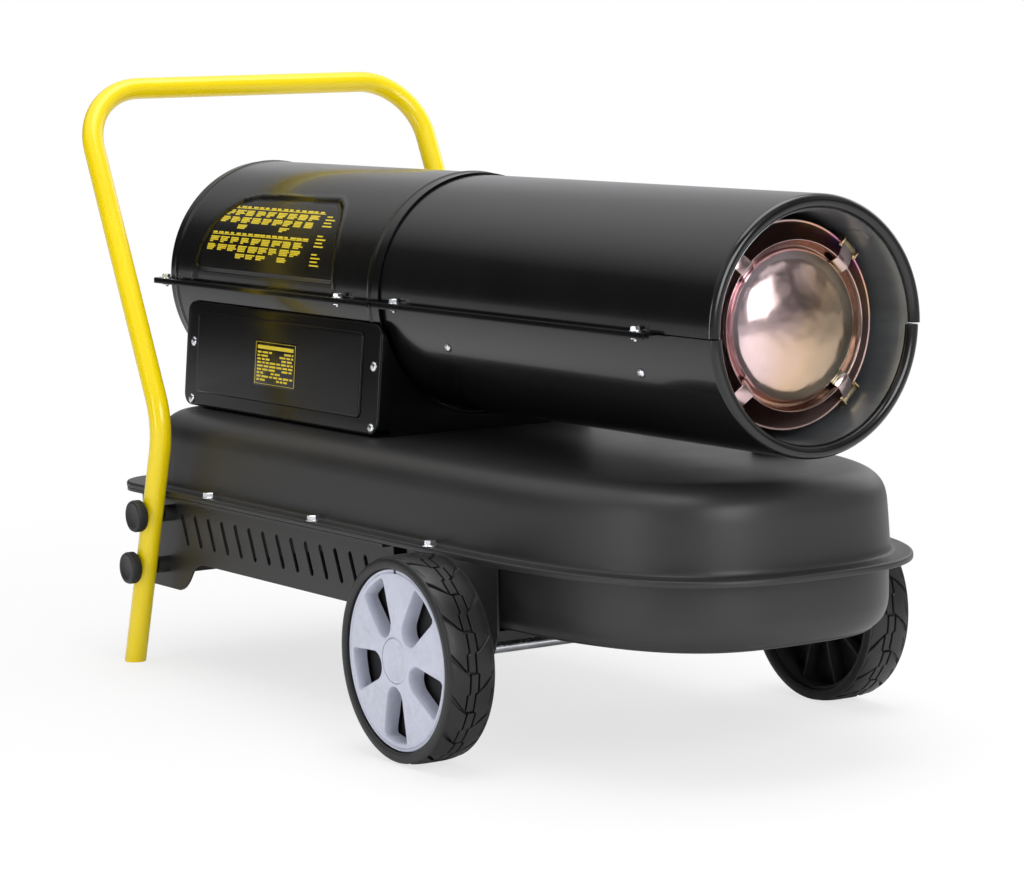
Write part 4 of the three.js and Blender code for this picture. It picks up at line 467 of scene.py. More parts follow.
def tube(path, radius, sides=24, wall=0.0, closed=False):
    """A round tube along points, hollow where it has a wall."""
    path = [Vector(p) for p in path]
    last, normal, spokes = len(path) - 1, None, []
    for i, here in enumerate(path):
        before = path[i - 1] if i or closed else here
        after = path[(i + 1) % len(path)] if i < last or closed else here
        ahead = (after - before).normalized()
        normal = ahead.orthogonal() if normal is None else normal - ahead * normal.dot(ahead)
        normal.normalize()
        side = ahead.cross(normal)
        spokes.append([math.cos(a) * normal + math.sin(a) * side for a in ring(sides)])

    def rings(reach):
        return [[here + reach * spoke for spoke in row] for here, row in zip(path, spokes)]

    outer = rings(radius)
    if closed:
        return walls(outer + outer[:1])
    return walls(outer + rings(radius - wall)[::-1] + outer[:1]) if wall else skin(outer)


def bent(corners, radii, steps=14):
    """A line through corners, each inner one rounded with its own radius."""
    corners = [Vector(c) for c in corners]
    points = [corners[0]]
    for i in range(1, len(corners) - 1):
        back = (corners[i - 1] - corners[i]).normalized()
        on = (corners[i + 1] - corners[i]).normalized()
        half = back.angle(on) / 2
        centre = corners[i] + (back + on).normalized() * radii[i - 1] / math.sin(half)
        start = corners[i] + back * radii[i - 1] / math.tan(half) - centre
        end = corners[i] + on * radii[i - 1] / math.tan(half) - centre
        axis = start.cross(end).normalized()
        turn = math.pi - 2 * half
        points += [Matrix.Rotation(turn * k / steps, 3, axis) @ start + centre for k in range(steps + 1)]
    return points + [corners[-1]]


def smoothed(points, steps=6):
    """Points on a smooth curve through the given ones."""
    out = []
    for i in range(len(points) - 1):
        p = [Vector(points[min(max(i + k, 0), len(points) - 1)]) for k in (-1, 0, 1, 2)]
        for k in range(steps):
            t = k / steps
            out.append(0.5 * (2 * p[1] + (p[2] - p[0]) * t + (2 * p[0] - 5 * p[1] + 4 * p[2] - p[3]) * t * t
                              + (3 * p[1] - p[0] - 3 * p[2] + p[3]) * t ** 3))
    return out + [Vector(points[-1])]


def raised(loop, height):
    return [(x, y, height) for x, y in loop]


def disc(radius, sides):
    return [(radius * math.cos(a), radius * math.sin(a)) for a in ring(sides)]


def along_edge(x, y, loop):
    """Whether a place lies inside a closed line, and how far it is from it."""
    best, inside = 1e9, False
    for (ax, ay), (bx, by) in zip(loop, loop[1:] + loop[:1]):
        if (ay > y) != (by > y) and x < (bx - ax) * (y - ay) / (by - ay) + ax:
            inside = not inside
        dx, dy = bx - ax, by - ay
        t = max(0.0, min(1.0, ((x - ax) * dx + (y - ay) * dy) / (dx * dx + dy * dy)))
        best = min(best, math.hypot(x - ax - t * dx, y - ay - t * dy))
    return inside, best


# ------------------------------------------------------------------ fasteners

def hex_screw(shape, place, head, shank, nut_top=None):
    """A hexagon head with a washer face standing on z = 0, its shank and nut below."""
    lift, pitch = 0.9, 0.9
    shape.add(revolve([(0, 0), (head + 1.7, 0), (head + 1.7, 0.6), (head + 1.3, lift), (0, lift)], 32),
              place @ TO_Z)
    high = lift + head * 0.85
    hexagon, crown = disc(head * 1.12, 6), disc(head * 1.12 * 0.88, 6)
    shape.add(skin([raised(hexagon, lift), raised(hexagon, high - 0.7), raised(crown, high)]), place)
    threads = [(0, 0.3)]
    radius = head * 0.52
    for k in range(int(shank / pitch)):
        threads += [(radius, -k * pitch), (radius - 0.3, -k * pitch - 0.45)]
    threads += [(radius - 0.6, -shank), (0, -shank)]
    shape.add(revolve(threads, 20), place @ TO_Z)
    if nut_top is not None:
        foot = nut_top - head * 0.85
        shape.add(skin([raised(crown, nut_top), raised(hexagon, nut_top - 0.5),
                        raised(hexagon, foot + head * 0.1), raised(crown, foot)]), place)


def pan_screw(shape, place, head=4.6):
    """A domed head standing on z = 0 with a cross recess."""
    dome = [(0, -1), (head - 0.2, -1), (head, 0), (head, 0.5)]
    dome += [(head * math.cos(a), 0.5 + 2.3 * math.sin(a)) for a in
             (math.radians(12 * k) for k in range(1, 7))]
    cup = [(1.7, 2.55), (1.2, 1.1), (0, 0.9)]
    shape.add(revolve(dome + cup, 32), place @ TO_Z)
    for turn in (45, 135):
        shape.add(block(-2.6, 2.6, -0.42, 0.42, 0.9, 1.35), place @ spin(turn, "Z"), 1)


# ------------------------------------------------------------------ barrel

FIELD = [(-655, -1), (-648, 37), (-637, 60), (-622, 76), (-600, 88), (-572, 93),
         (-404, 95), (-386, 88), (-374, 76), (-358, 44), (-346, -1)]


FIELD_DEPTH = 2.4
FIELD_ARC = [(x, REAR_R * math.asin(z / REAR_R)) for x, z in FIELD]
FIELD_ARC[0], FIELD_ARC[-1] = (-656, -40), (-345, -40)


def inside_field(x, s):
    """How far inside the pressed field a place on the casing lies; negative outside."""
    inside, gap = along_edge(x, s, FIELD_ARC)
    return gap if inside else -gap


def eased(t):
    t = max(0.0, min(1.0, t))
    return t * t * (3 - 2 * t)


def bead(x, middle, height, half):
    return height * 0.5 * (1 + math.cos(math.pi * min(1.0, abs(x - middle) / half)))


def rear_radius(x, angle):
    r = REAR_R + bead(x, -279, 1.4, 4.5) + bead(x, -692, 1.4, 4.5)
    r -= 1.6 * eased((-705.5 - x) / 2.5)
    if 90 < angle < 181.6 and x < -340:
        deep = inside_field(x, REAR_R * math.radians(180 - angle))
        r -= FIELD_DEPTH * eased(deep / 4.2)
        r += bead(deep, -2.2, 0.8, 2.6)
    return r


def half_angles(upper, radius, gap):
    """From where to where, in degrees, a half shell reaches that ends this far from the seam."""
    tilt = math.degrees(math.asin((SEAM + (gap if upper else -gap)) / radius))
    return (tilt, 180 - tilt) if upper else (180 - tilt, 360 + tilt)


def curved_half(upper):
    """Half of the rear casing as a fine sheet, with the pressed field in the upper one."""
    low, high = half_angles(upper, REAR_R, 0.2)
    angles = [low + (high - low) * k / 150 for k in range(151)]
    xs = ([-708, -707.4, -706.5] + [-705 + 1.25 * k for k in range(16)] + [-684 + 2.5 * k for k in range(159)]
          + [-288 + k for k in range(18)] + [-268, -262])
    rings = []
    for x in xs:
        outer = [(a, rear_radius(x, a)) for a in angles]
        line = outer + [(a, r - SHEET) for a, r in reversed(outer)]
        rings.append([(x, r * math.cos(math.radians(a)), r * math.sin(math.radians(a))) for a, r in line])
    return skin(rings)


def seam_lip(shape, upper, radius, start, end):
    root, edge = radius - 0.9, radius + 13
    inner = edge - SHEET
    if upper:
        section = [(root, 0.2), (inner - 1, 0.2), (inner, -0.8), (inner, -4.5), (edge, -4.5), (edge, 0.4),
                   (edge - 0.5, 1.3), (edge - 1.4, 1.7), (root, 1.7)]
    else:
        section = [(root, -1.7), (inner - 1.6, -1.7), (inner - 1.6, -0.2), (root, -0.2)]
    for side in (-1, 1):
        shape.add(slab([(side * y, SEAM + z) for y, z in section], start, end), LIFT @ FACING_X)


def front_profile(radius):
    """The front casing's sheet and the round curl of its rim, as (radius, x)."""
    curl_radius = 6.5
    centre = 300.5 - curl_radius
    curl = arc(centre, radius - curl_radius, curl_radius, 90, -100, 20)
    back = arc(centre, radius - curl_radius, curl_radius - SHEET, -100, 90, 16)
    return [(radius - SHEET, -282), (radius, -282)] + [(y, x) for x, y in curl + back]


def casings():
    """The four half shells with their seam lips, seam screws and radial screws."""
    for name in ("upper", "lower"):
        upper = name == "upper"
        rear = Shape().add(curved_half(upper), LIFT)
        seam_lip(rear, upper, REAR_R, -722, -262)
        make(f"rear_{name}_shell", rear, "gloss_black", nodes=f"rear_{name}_casing")
    for name, radius, end in (("upper", 122.2, 215), ("lower", LOWER_R, 213)):
        upper = name == "upper"
        start, stop = half_angles(upper, radius, 0.8)
        front = Shape().add(revolve(front_profile(radius), 150, start, stop - start), LIFT)
        seam_lip(front, upper, radius, -261.6, end)
        make(f"front_{name}_shell", front, "gloss_black", nodes=f"front_{name}_casing")
    screws = Shape()
    for x in (-703, -330, -226, 192):
        radius = REAR_R if x < -262 else LOWER_R
        for side in (-1, 1):
            place = LIFT @ at(x, side * (radius + 7.1), SEAM + 1.7) @ spin(17 * x, "Z")
            hex_screw(screws, place, 4.3, 9.5, -3.9)
    for x in (-149, 180):
        for side in (-1, 1):
            turn = -side * (90 + POST_ANGLE)
            pan_screw(screws, LIFT @ at(x, 0, 0) @ spin(turn) @ at(0, 0, LOWER_R))
    make("casing_screws", screws, ("zinc", "black_plastic"), smooth=25)


def label_bar(shape, x0, x1, s0, s1, radius, rise):
    """A thin raised bar lying on a cylinder about the barrel's axis, s along its curve."""
    steps = max(1, int((s1 - s0) / 4))
    corners = ((x0, radius), (x1, radius), (x1, radius + rise), (x0, radius + rise))
    rings = []
    for k in range(steps + 1):
        a = math.pi - (s0 + (s1 - s0) * k / steps) / REAR_R
        rings.append([(x, r * math.cos(a), r * math.sin(a)) for x, r in corners])
    shape.add(skin(rings), LIFT)


def instruction_label():
    """A plain film in the pressed field, with bars where a maker's lines would stand."""
    film, marks = Shape(), Shape()
    base = REAR_R - FIELD_DEPTH
    for k in range(30):
        s0, s1 = 6 + 3.2 * k, 6 + 3.2 * (k + 1)
        xs = [x for x in range(-650, -350, 2)
              if inside_field(x, s0) > 6 and inside_field(x, s1) > 6]
        if xs:
            label_bar(film, xs[0], xs[-1], s0, s1, base - 0.1, 0.25)

    def bar(x, width, s, tall):
        label_bar(marks, x, x + width, s, s + tall, base + 0.14, 0.12)

    for head in (87.5, 53.5):
        left = -622 if head > 60 else -630
        for k in range(16):
            bar(left + 13 * k, 12.2, head, 1.0)
            bar(left + 13 * k, random.uniform(7, 12.2), head + 1.4, 2.0)
        for row, lines in enumerate((4, 4, 3)):
            for k in range(9):
                x = left - 1 - 2.2 * row + 22.6 * k
                if row == 2 and random.random() < 0.45:
                    continue
                for line in range(lines):
                    width = random.uniform(15, 20.4) if line < lines - 1 else random.uniform(6, 18)
                    bar(x, width, head - 3.6 - 9.2 * row - 1.85 * line, 1.45)
    for s in (72, 48, 27):
        for width, low in ((19, 0), (15, 4), (19, 8), (11, 12)):
            bar(-408, width, s + low, 1.6)
    make("label_film", film, "label")
    make("label_marks", marks, "print")


def burner():
    """The liner, the flame tube and the spreader with its tabs and clips."""
    liner = Shape().add(revolve([(105.5, -175), (107, -175), (107, 284), (108.9, 292), (109, 294.6),
                                 (108.2, 295), (107.3, 292), (105.5, 284.5)], 128), LIFT)
    liner.add(revolve([(104.9, -170), (105.6, -170), (105.6, 284), (104.9, 284)], 5, 47, 7), LIFT)
    for x in (-149, 180):
        for turn in (-POST_ANGLE, 180 + POST_ANGLE):
            liner.add(rod(6, 106.5, 117.4, 24), LIFT @ at(x, 0, 0) @ spin(turn) @ TO_Y)
    make("liner_tube", liner, "liner", nodes="inner_liner")
    flame = Shape().add(revolve([(46, -200), (96.5, -190), (96.5, 250), (97.1, 254.4), (96.6, 255),
                                 (95.2, 254.6), (95, 250), (95, -188.5), (46, -198.5)], 128), LIFT)
    for x in (-120, 160):
        for turn in (90, 210, 330):
            flame.add(block(x - 9, x + 9, -8, 8, 95.5, 105), LIFT @ spin(turn))
    make("flame_tube", flame, "chamber", nodes="combustion_chamber")
    dome = [(72.4 * math.sin(a), 257 + 28 * math.cos(a)) for a in (math.radians(3.6 * k) for k in range(25))]
    rim = [(72.5, 256), (73.2, 255.3), (74.4, 255.8), (76.2, 259.6), (78, 264.2), (78.8, 265.4), (79.4, 265.2),
           (79.3, 264.2), (77.6, 260), (75.6, 255.4), (74, 253.8), (72.4, 253.8), (71.2, 255)]
    inner = [(71 * math.sin(a), 256.6 + 27.2 * math.cos(a)) for a in (
        math.radians(3.6 * k) for k in range(24, -1, -1))]
    spreader = Shape().add(revolve(dome + rim + inner, 128), LIFT)
    clips = Shape()
    for turn in (-45, 45, 135, 225):
        side = [(262.2, 71.5), (265.6, 76), (266.6, 79), (262.4, 90), (258.2, 99.2), (256.6, 99.4),
                (261, 88.5), (264.6, 79.2), (263.4, 76.6), (260.6, 73)]
        spreader.add(slab(side, -8, 8), LIFT @ spin(turn) @ FACING_Y)
        ridge = [(-5.5, 74), (5.5, 74), (3.2, 91), (-3.2, 91)]
        crest = [[(x * k, y, z) for x, y in ridge] for k, z in ((1, -0.8), (0.9, 0.6), (0.35, 1.6))]
        lean = Matrix(((0, 0, 1, 265.4), (1, 0, 0, 0), (0, 1, 0, 0), (0, 0, 0, 1)))
        tipped = at(0, 0, 79) @ spin(20, "Y") @ at(0, 0, -79)
        spreader.add(skin(crest), LIFT @ spin(turn) @ tipped @ lean)
        outer = [(258.4, 90.6), (260.2, 90.6), (260.2, 97.4), (259.2, 99.6), (257, 100.2), (246, 99.6),
                 (245.2, 100.8), (244.4, 100.4), (245.4, 98.2), (257, 98.4), (258.4, 97)]
        clips.add(slab(outer, -11, 11), LIFT @ spin(turn) @ FACING_Y)
        for edge in (-1, 1):
            flange = [(256, 92), (262.6, 91.4), (263, 98), (259.6, 101.6), (252, 101)]
            clips.add(slab(flange, *sorted((edge * 9.7, edge * 11.1))), LIFT @ spin(turn) @ FACING_Y)
    make("flame_spreader", spreader, "dome", nodes="flame_diffuser", bevel=0.3,
         smooth=50)
    make("spreader_clips", clips, "clip", bevel=0.25)


def fan():
    """The rear grille, the fan, its motor and the pump's filter cover."""
    hub = Shape().add(revolve([(6.1, -442), (28, -442), (30, -440), (30, -412), (26, -408.5), (12, -408),
                               (12, -402), (6.1, -402)], 64), LIFT)
    for k in range(5):
        rows = []
        for i in range(9):
            share = i / 8
            radius = 28 + share * 84
            half = 19 + 12.5 * math.sin(math.pi * (0.12 + 0.6 * share))
            pitch = math.radians(40 - 20 * share)
            row = []
            for j in range(13):
                t = -1 + 2 * j / 12
                trim = 1 - 0.18 * share * abs(t) ** 3
                bend = 6 * (1 - t * t)
                along = t * half * trim
                x = -425 + along * math.sin(pitch) + bend * math.cos(pitch) * 0.7
                around = along * math.cos(pitch) - bend * math.sin(pitch) * 0.7
                a = math.radians(72 * k) + around / radius
                r = min(radius, 112) * (1 - 0.02 * share * t * t)
                row.append((x, r * math.cos(a), r * math.sin(a)))
            rows.append(row)
        hub.add(skin([row + [(x - 1.6, y, z) for x, y, z in reversed(row)] for row in rows]), LIFT)
    make("fan_wheel", hub, "aluminium", "fan_impeller", "fan_rotor")
    grille = Shape()
    for radius in (121.5, 106, 91, 76, 61, 46, 31, 17):
        path = [(-702.4, (radius - 1.4) * math.cos(a), (radius - 1.4) * math.sin(a)) for a in ring(72)]
        grille.add(tube(path, 1.5 if radius < 121 else 1.7, 10, closed=True), LIFT)
    for turn in (0, 60, 120):
        grille.add(tube([(-700.4, -119.5, 0), (-700.4, 119.5, 0)], 1.7, 12), LIFT @ spin(turn))
    make("intake_grille", grille, "black_plastic", nodes="rear_grille")
    motor = Shape().add(revolve([(6.5, -590), (26, -590), (30, -588), (42, -583), (47, -579), (48, -576),
                                 (48, -484), (47, -481), (42, -477), (30, -472), (26, -470), (6.5, -470)], 72),
                        LIFT)
    for k in range(24):
        motor.add(block(-572, -488, -0.9, 0.9, 47.5, 48.4), LIFT @ spin(15 * k + 7))
    motor.add(revolve([(0, -575), (12.5, -575), (14, -573.5), (14, -517), (12.5, -515), (0, -515)], 32),
              LIFT @ at(0, 0, 56))
    make("motor_housing", motor, "satin_black", nodes="fan_motor")
    cover = Shape().add(revolve([(0, -668.4), (28, -668.4), (31, -667.6), (33.4, -665.4), (34, -663),
                                 (34, -640.4), (31.5, -640.4), (31.5, -663), (29, -666), (0, -666)], 64), LIFT)
    for k in range(9):
        cover.add(block(-669.6, -668, -1, 1, 9, 24), LIFT @ spin(40 * k))
    cover.add(revolve([(0, -671), (5, -671), (6, -670), (6, -668), (0, -668)], 6), LIFT)
    make("filter_cover", cover, "black_plastic", nodes="air_filter_cover", bevel=0.3)


# ------------------------------------------------------------------ side box

TILT = math.atan2(10, 117)
COVER_FOOT = 277.4 + 17 * math.sin(TILT)
COVER_H = (394 - COVER_FOOT) / math.cos(TILT)


def cover_place(side):
    lean = spin(90 - math.degrees(TILT))
    return at(-453.5, side * 136, COVER_FOOT) @ facing(side) @ lean


def drawn(x0, x1, y0, y1, corner, low, high, fillet, steps=6):
    """A block with rounded corners whose upper edge is rounded over as well."""
    rings = [raised(rounded(x0, x1, y0, y1, corner), low)]
    for k in range(steps + 1):
        a = math.pi / 2 * k / steps
        inset = fillet * (1 - math.cos(a))
        loop = rounded(x0 + inset, x1 - inset, y0 + inset, y1 - inset, max(corner - inset, 0.5))
        rings.append(raised(loop, high - fillet + fillet * math.sin(a)))
    return skin(rings)


def cover_shape(side, holes=()):
    place = cover_place(side)
    rear = -210 if side < 0 else -201.5
    body = Shape().add(drawn(rear, 201.5 if side < 0 else 210, 0, COVER_H, 14, -17, 0, 3.0), place)
    cutter = Shape().add(rod(126.3, -700, -200, 160), LIFT)
    cutter.add(block(-199, 199, 2, 80, -30, -1.6), place)
    for hole in holes:
        cutter.add(hole, place)
    return body, cutter


def side_box():
    """The near cover with its rating plate, and both covers' screws."""
    body, cutter = cover_shape(-1)
    make("plain_cover", body, "box_paint", nodes="side_box_cover", cutter=cutter, smooth=28)
    place = cover_place(-1)
    field = Shape().add(drawn(-181, 168, 16, 105, 6, -1, 2.2, 2.0), place)
    make("cover_field", field, "box_paint", smooth=50)
    plate = Shape().add(slab(rounded(-51, 37, 34, 83, 1.5), 1.4, 2.4), place)
    make("rating_plate", plate, "label", bevel=0.12)
    marks = Shape()
    line = rounded(-49, 35, 36, 81, 1.2)
    inner = [(x * 0.985 - 0.1, y * 0.985 + 0.88) for x, y in line]
    marks.add(slab(line, 2.3, 2.5, [inner]), place)
    marks.add(slab(rounded(-45, 31, 73.5, 77.5, 0.4), 2.3, 2.5), place)
    for k in range(9):
        y = 69 - 3.7 * k
        x = -45.0
        while x < 28:
            width = random.uniform(5, 14)
            if random.random() < 0.8 or x < -30:
                end = min(x + width, 31)
                marks.add(block(x, end, y, y + 2.1, 2.3, 2.5), place)
            x += width + 2.2
    make("rating_marks", marks, "print")
    screws = Shape()
    for side in (-1, 1):
        for x in (-190.5, 190.5):
            for y in (7.5, 71):
                pan_screw(screws, cover_place(side) @ at(x, y, 0) @ spin(23 * x, "Z"), 5.3)
    make("cover_screws", screws, ("zinc", "black_plastic"), smooth=25)
    control_side()


def control_side():
    """The far cover with its switch, its dial and the lead's gland behind it."""
    place = cover_place(1)
    rocker_place, dial_place = place @ at(-60, 62, 0), place @ at(60, 62, 0)
    knob = slab([(60 + x, 62 + y) for x, y in disc(5, 24)], -30, 9)
    switch = block(-71.4, -48.6, 46.6, 77.4, -30, 9)
    body, cutter = cover_shape(1, (knob, switch))
    body.add(drawn(-181, 168, 16, 105, 7, -1, 1.6, 2.4), place)
    make("control_cover", body, "box_paint", nodes="control_panel", cutter=cutter, smooth=40)
    ticks = Shape()
    for k in range(19):
        turn = spin(-45 + 15 * k, "Z")
        long = 5.0 if k % 3 == 0 else 3.0
        ticks.add(block(20, 20 + long, -0.5, 0.5, 1.5, 1.72), dial_place @ turn)
    ticks.add(slab(rounded(-62, -58, 84, 94, 0.8), 1.5, 1.72), place)
    ticks.add(slab(disc(5, 32), 1.5, 1.72, [disc(4, 32)]), place @ at(-60, 36, 0))
    make("dial_ticks", ticks, "dial")
    opening = rounded(-9, 9, -13, 13, 0.8)
    housing = Shape().add(slab(rounded(-14, 14, -18, 18, 2), 2, 4.4, [opening]), rocker_place)
    housing.add(slab(rounded(-11, 11, -15, 15, 1), -20, 3, [opening]), rocker_place)
    housing.add(block(-10, 10, -14, 14, -20, -11), rocker_place)
    make("switch_frame", housing, "black_plastic", nodes="power_switch_housing", bevel=0.4)
    profile = [(-12, 5), (-10.5, -1.5), (0, -4.5), (10.5, -1.5), (12, 5), (8, 4.2), (3, 3.2), (0, 3),
               (-3, 3.2), (-8, 4.2)]
    rocker = Shape().add(slab(profile, -8.4, 8.4), rocker_place @ spin(8) @ FACING_X)
    make("switch_paddle", rocker, "red_plastic", "power_switch_rocker", "switch_rocker", bevel=0.5, steps=3)
    face = dial_place @ spin(135, "Z")
    grip = Shape().add(revolve([(0, 4.2), (17, 4.2), (17, 6.6), (15.4, 8), (13.6, 9.4), (13, 20.4), (12, 22),
                                (10.6, 22.7), (0, 22.7)], 72), face @ TO_Z)
    for k in range(24):
        grip.add(revolve([(0, 9.5), (1.1, 9.5), (0.9, 20.6), (0, 21)], 8), face @ spin(15 * k, "Z")
                 @ at(13.1, 0, 0) @ TO_Z)
    pointer = Shape().add(slab(rounded(-1.2, 1.2, 2, 14, 0.6), 22.5, 23.6), face)
    pointer.add(block(-1.1, 1.1, 13, 16.6, 4.4, 7.2), face)
    make("dial_knob", grip, "black_plastic", "thermostat_knob", "thermostat_dial")
    make("dial_pointer", pointer, "dial", body="thermostat_dial")
    gland = Shape()
    spot = at(0, 96, 302)
    gland.add(slab(disc(12, 6), -660, -653.4, [disc(4, 24)]), spot @ FACING_X)
    gland.add(revolve([(3.8, -669), (6, -669), (7.6, -667), (9.4, -661), (9.4, -659), (3.8, -659)], 40), spot)
    gland.add(revolve([(3.8, -655), (8, -655), (8, -641), (3.8, -641)], 32), spot)
    make("lead_gland", gland, "black_plastic", nodes="cord_gland", bevel=0.3)


# ------------------------------------------------------------------ tank

NOSE_START = -60
FLANGE = (-714, 50, 203, 311)
TANK = (-690, 80, 186, 288.5)
PAN = (-130, 16, 185, 286.5)


def plan(outline, inset, z):
    """The outline (rear, corner, half width, tip) moved inwards, with a blunt rounded nose."""
    nose, corner_steps = 44, 10
    rear, corner, half, tip = outline
    half, corner, rear = half - inset, max(corner - inset, 2.0), rear + inset
    reach = tip - inset - NOSE_START
    points = []
    for i in range(nose * 2 + 1):
        t = -math.pi / 2 + math.pi * i / (nose * 2)
        c, s = max(math.cos(t), 0.0), math.sin(t)
        points.append((NOSE_START + reach * c ** (2 / 3), half * math.copysign(abs(s) ** (2 / 3), s)))
    points = points[:-1]
    straight = [(NOSE_START + (rear + corner - NOSE_START) * k / 12, half) for k in range(12)]
    points += straight + arc(rear + corner, half - corner, corner, 90, 180, corner_steps)
    points += arc(rear + corner, -half + corner, corner, 180, 270, corner_steps)
    points += [(rear + corner + (NOSE_START - rear - corner) * k / 12, -half) for k in range(1, 12)]
    return [(x, y, z) for x, y in points]


def shell(stations):
    """A shell through stations of (outline, inset, height), smooth between stations of one outline."""
    rings = []
    runs, current = [], [stations[0]]
    for station in stations[1:]:
        if station[0] is current[-1][0] and station[-1] != "sharp":
            current.append(station)
        else:
            runs.append(current)
            current = [station]
    runs.append(current)
    for run in runs:
        places = [(inset, height, 0) for _, inset, height, *_ in run]
        curve = smoothed(places, 5) if len(run) > 2 else [Vector(p) for p in places]
        rings += [plan(run[0][0], inset, height) for inset, height, _ in curve]
    return skin(rings)


def tank():
    """The two pressed halves, the drain plug and the flange bolts."""
    upper = [(TANK, 150, 277.0), (TANK, 80, 276.9), (TANK, 48, 276.7), (TANK, 33, 275.9), (TANK, 22, 273.2),
             (TANK, 13, 267.8), (TANK, 6.4, 259.6), (TANK, 3.2, 249), (TANK, 2, 236), (TANK, 0.9, 218),
             (TANK, 0.1, 203), (TANK, -0.8, 198.4), (TANK, -2.2, 196.3), (TANK, -4.4, 195.5),
             (FLANGE, 5, 195.5), (FLANGE, 2.2, 195.4), (FLANGE, 0.7, 194.7), (FLANGE, 0.05, 193.2),
             (FLANGE, 0, 191.4), (FLANGE, 0.2, 189.6), (FLANGE, 0.9, 189.0),
             (FLANGE, 1.5, 189.4, "sharp"), (FLANGE, 1.5, 193.8),
             (TANK, -3, 193.8, "sharp"), (TANK, 1.6, 203), (TANK, 3.8, 236), (TANK, 14, 265.2),
             (TANK, 36, 274.4), (TANK, 150, 275.4)]
    shape = Shape().add(shell(upper))
    cutter = Shape()
    for x, y, r in ((90, 116, 20.8), (-120, 128, 15.4), (-430, -70, 4.4)):
        cutter.add(rod(r, 240, 300, 40), at(x, y, 0) @ TO_Z)
    make("tank_top", shape, "satin_black", nodes="tank_upper_shell", cutter=cutter,
         smooth=40)
    lower = [(PAN, 150, 120), (PAN, 60, 120.0), (PAN, 30, 120.1), (PAN, 20, 121.6), (PAN, 11, 126.4),
             (PAN, 4.6, 133.6), (PAN, 1.2, 143), (PAN, 0, 154), (PAN, 0, 180), (PAN, -0.2, 188.6),
             (PAN, -1.4, 191.4), (PAN, -3.4, 192.1), (FLANGE, 4.6, 192.1), (FLANGE, 3.9, 191.4),
             (FLANGE, 3.7, 189.2), (FLANGE, 2.3, 189.2, "sharp"), (FLANGE, 2.2, 193.4),
             (PAN, 1.5, 193.6, "sharp"), (PAN, 1.5, 154), (PAN, 12, 127.6), (PAN, 30, 121.6), (PAN, 150, 121.5)]
    make("tank_pan", Shape().add(shell(lower)), "satin_black", nodes="tank_lower_shell",
         smooth=40)
    plug = Shape()
    hexagon, crown = disc(9, 6), disc(9 * 0.88, 6)
    plug.add(skin([raised(crown, 113.6), raised(hexagon, 114.6), raised(hexagon, 118.8)]), at(150, 0, 0))
    plug.add(revolve([(0, 118.6), (10.5, 118.6), (10.5, 119.6), (6, 119.6), (6, 129), (0, 129)], 36),
             at(150, 0, 0) @ TO_Z)
    make("drain_screw", plug, "zinc", nodes="drain_plug", smooth=25)
    filler()
    bolts = Shape()
    nodes = []
    for side, name in SIDES:
        for x, where in ((-499, "rear"), (-279, "middle"), (-57, "front")):
            hex_screw(bolts, at(x, side * 196.5, 195.6) @ spin(31 * x, "Z"), 5.7, 6.6)
            nodes.append(f"flange_bolt_{name}_{where}")
    make("flange_bolts", bolts, "zinc", nodes=nodes, smooth=25)


def filler():
    spot = at(90, 116, 0) @ TO_Z
    cap = Shape().add(revolve([(0, 289.1), (21.4, 289.1), (21.4, 280), (25.6, 280), (26, 280.6), (26, 295.4),
                               (25.2, 297.2), (23.4, 298), (19, 298), (17.6, 297.2), (0, 297.2)], 72), spot)
    for k in range(30):
        if k % 5 == 0:
            cap.add(block(-2.4, 2.4, 25, 27.5, 282, 295), at(90, 116, 0) @ spin(12 * k, "Z"))
        else:
            cap.add(block(-0.9, 0.9, 25.4, 26.7, 282, 295.5), at(90, 116, 0) @ spin(12 * k, "Z"))
    cap.add(slab(rounded(-15, 15, -3.4, 3.4, 3.2), 296.6, 298), at(90, 116, 0) @ spin(35, "Z"))
    make("tank_cap", cap, "black_plastic", "filler_cap", "cap", bevel=0.35)
    spot = at(-120, 128, 0)
    gauge = Shape().add(revolve([(0, 265), (14.6, 265), (14.6, 277.4), (20, 277.4), (20, 281.6), (19, 283.6),
                                 (17.4, 284.4), (15.6, 284.2), (15, 282.4), (0, 282.4)], 64), spot @ TO_Z)
    make("gauge_body", gauge, "black_plastic", nodes="fuel_gauge")
    face = Shape().add(slab(disc(14.8, 48), 282.2, 282.7), spot)
    make("gauge_dial", face, "dial")
    marks = Shape()
    for k in range(9):
        turn = spin(-60 + 15 * k, "Z")
        marks.add(block(10.4, 13.2, -0.35, 0.35, 282.6, 282.85), spot @ turn)
    marks.add(revolve([(0, 282.5), (2, 282.5), (1.6, 283.4), (0, 283.5)], 24), spot @ TO_Z)
    make("gauge_marks", marks, "black_plastic")
    needle = Shape().add(slab([(-3, -0.6), (11, -0.15), (11, 0.15), (-3, 0.6)], 282.9, 283.2),
                         spot @ spin(25, "Z"))
    make("gauge_needle", needle, "red_plastic")


# ------------------------------------------------------------------ skirt and handle

BOLT_LEVELS = (169, 110)


def leg_x(z):
    return -643 + (-562.5 + 643) / 269 * z


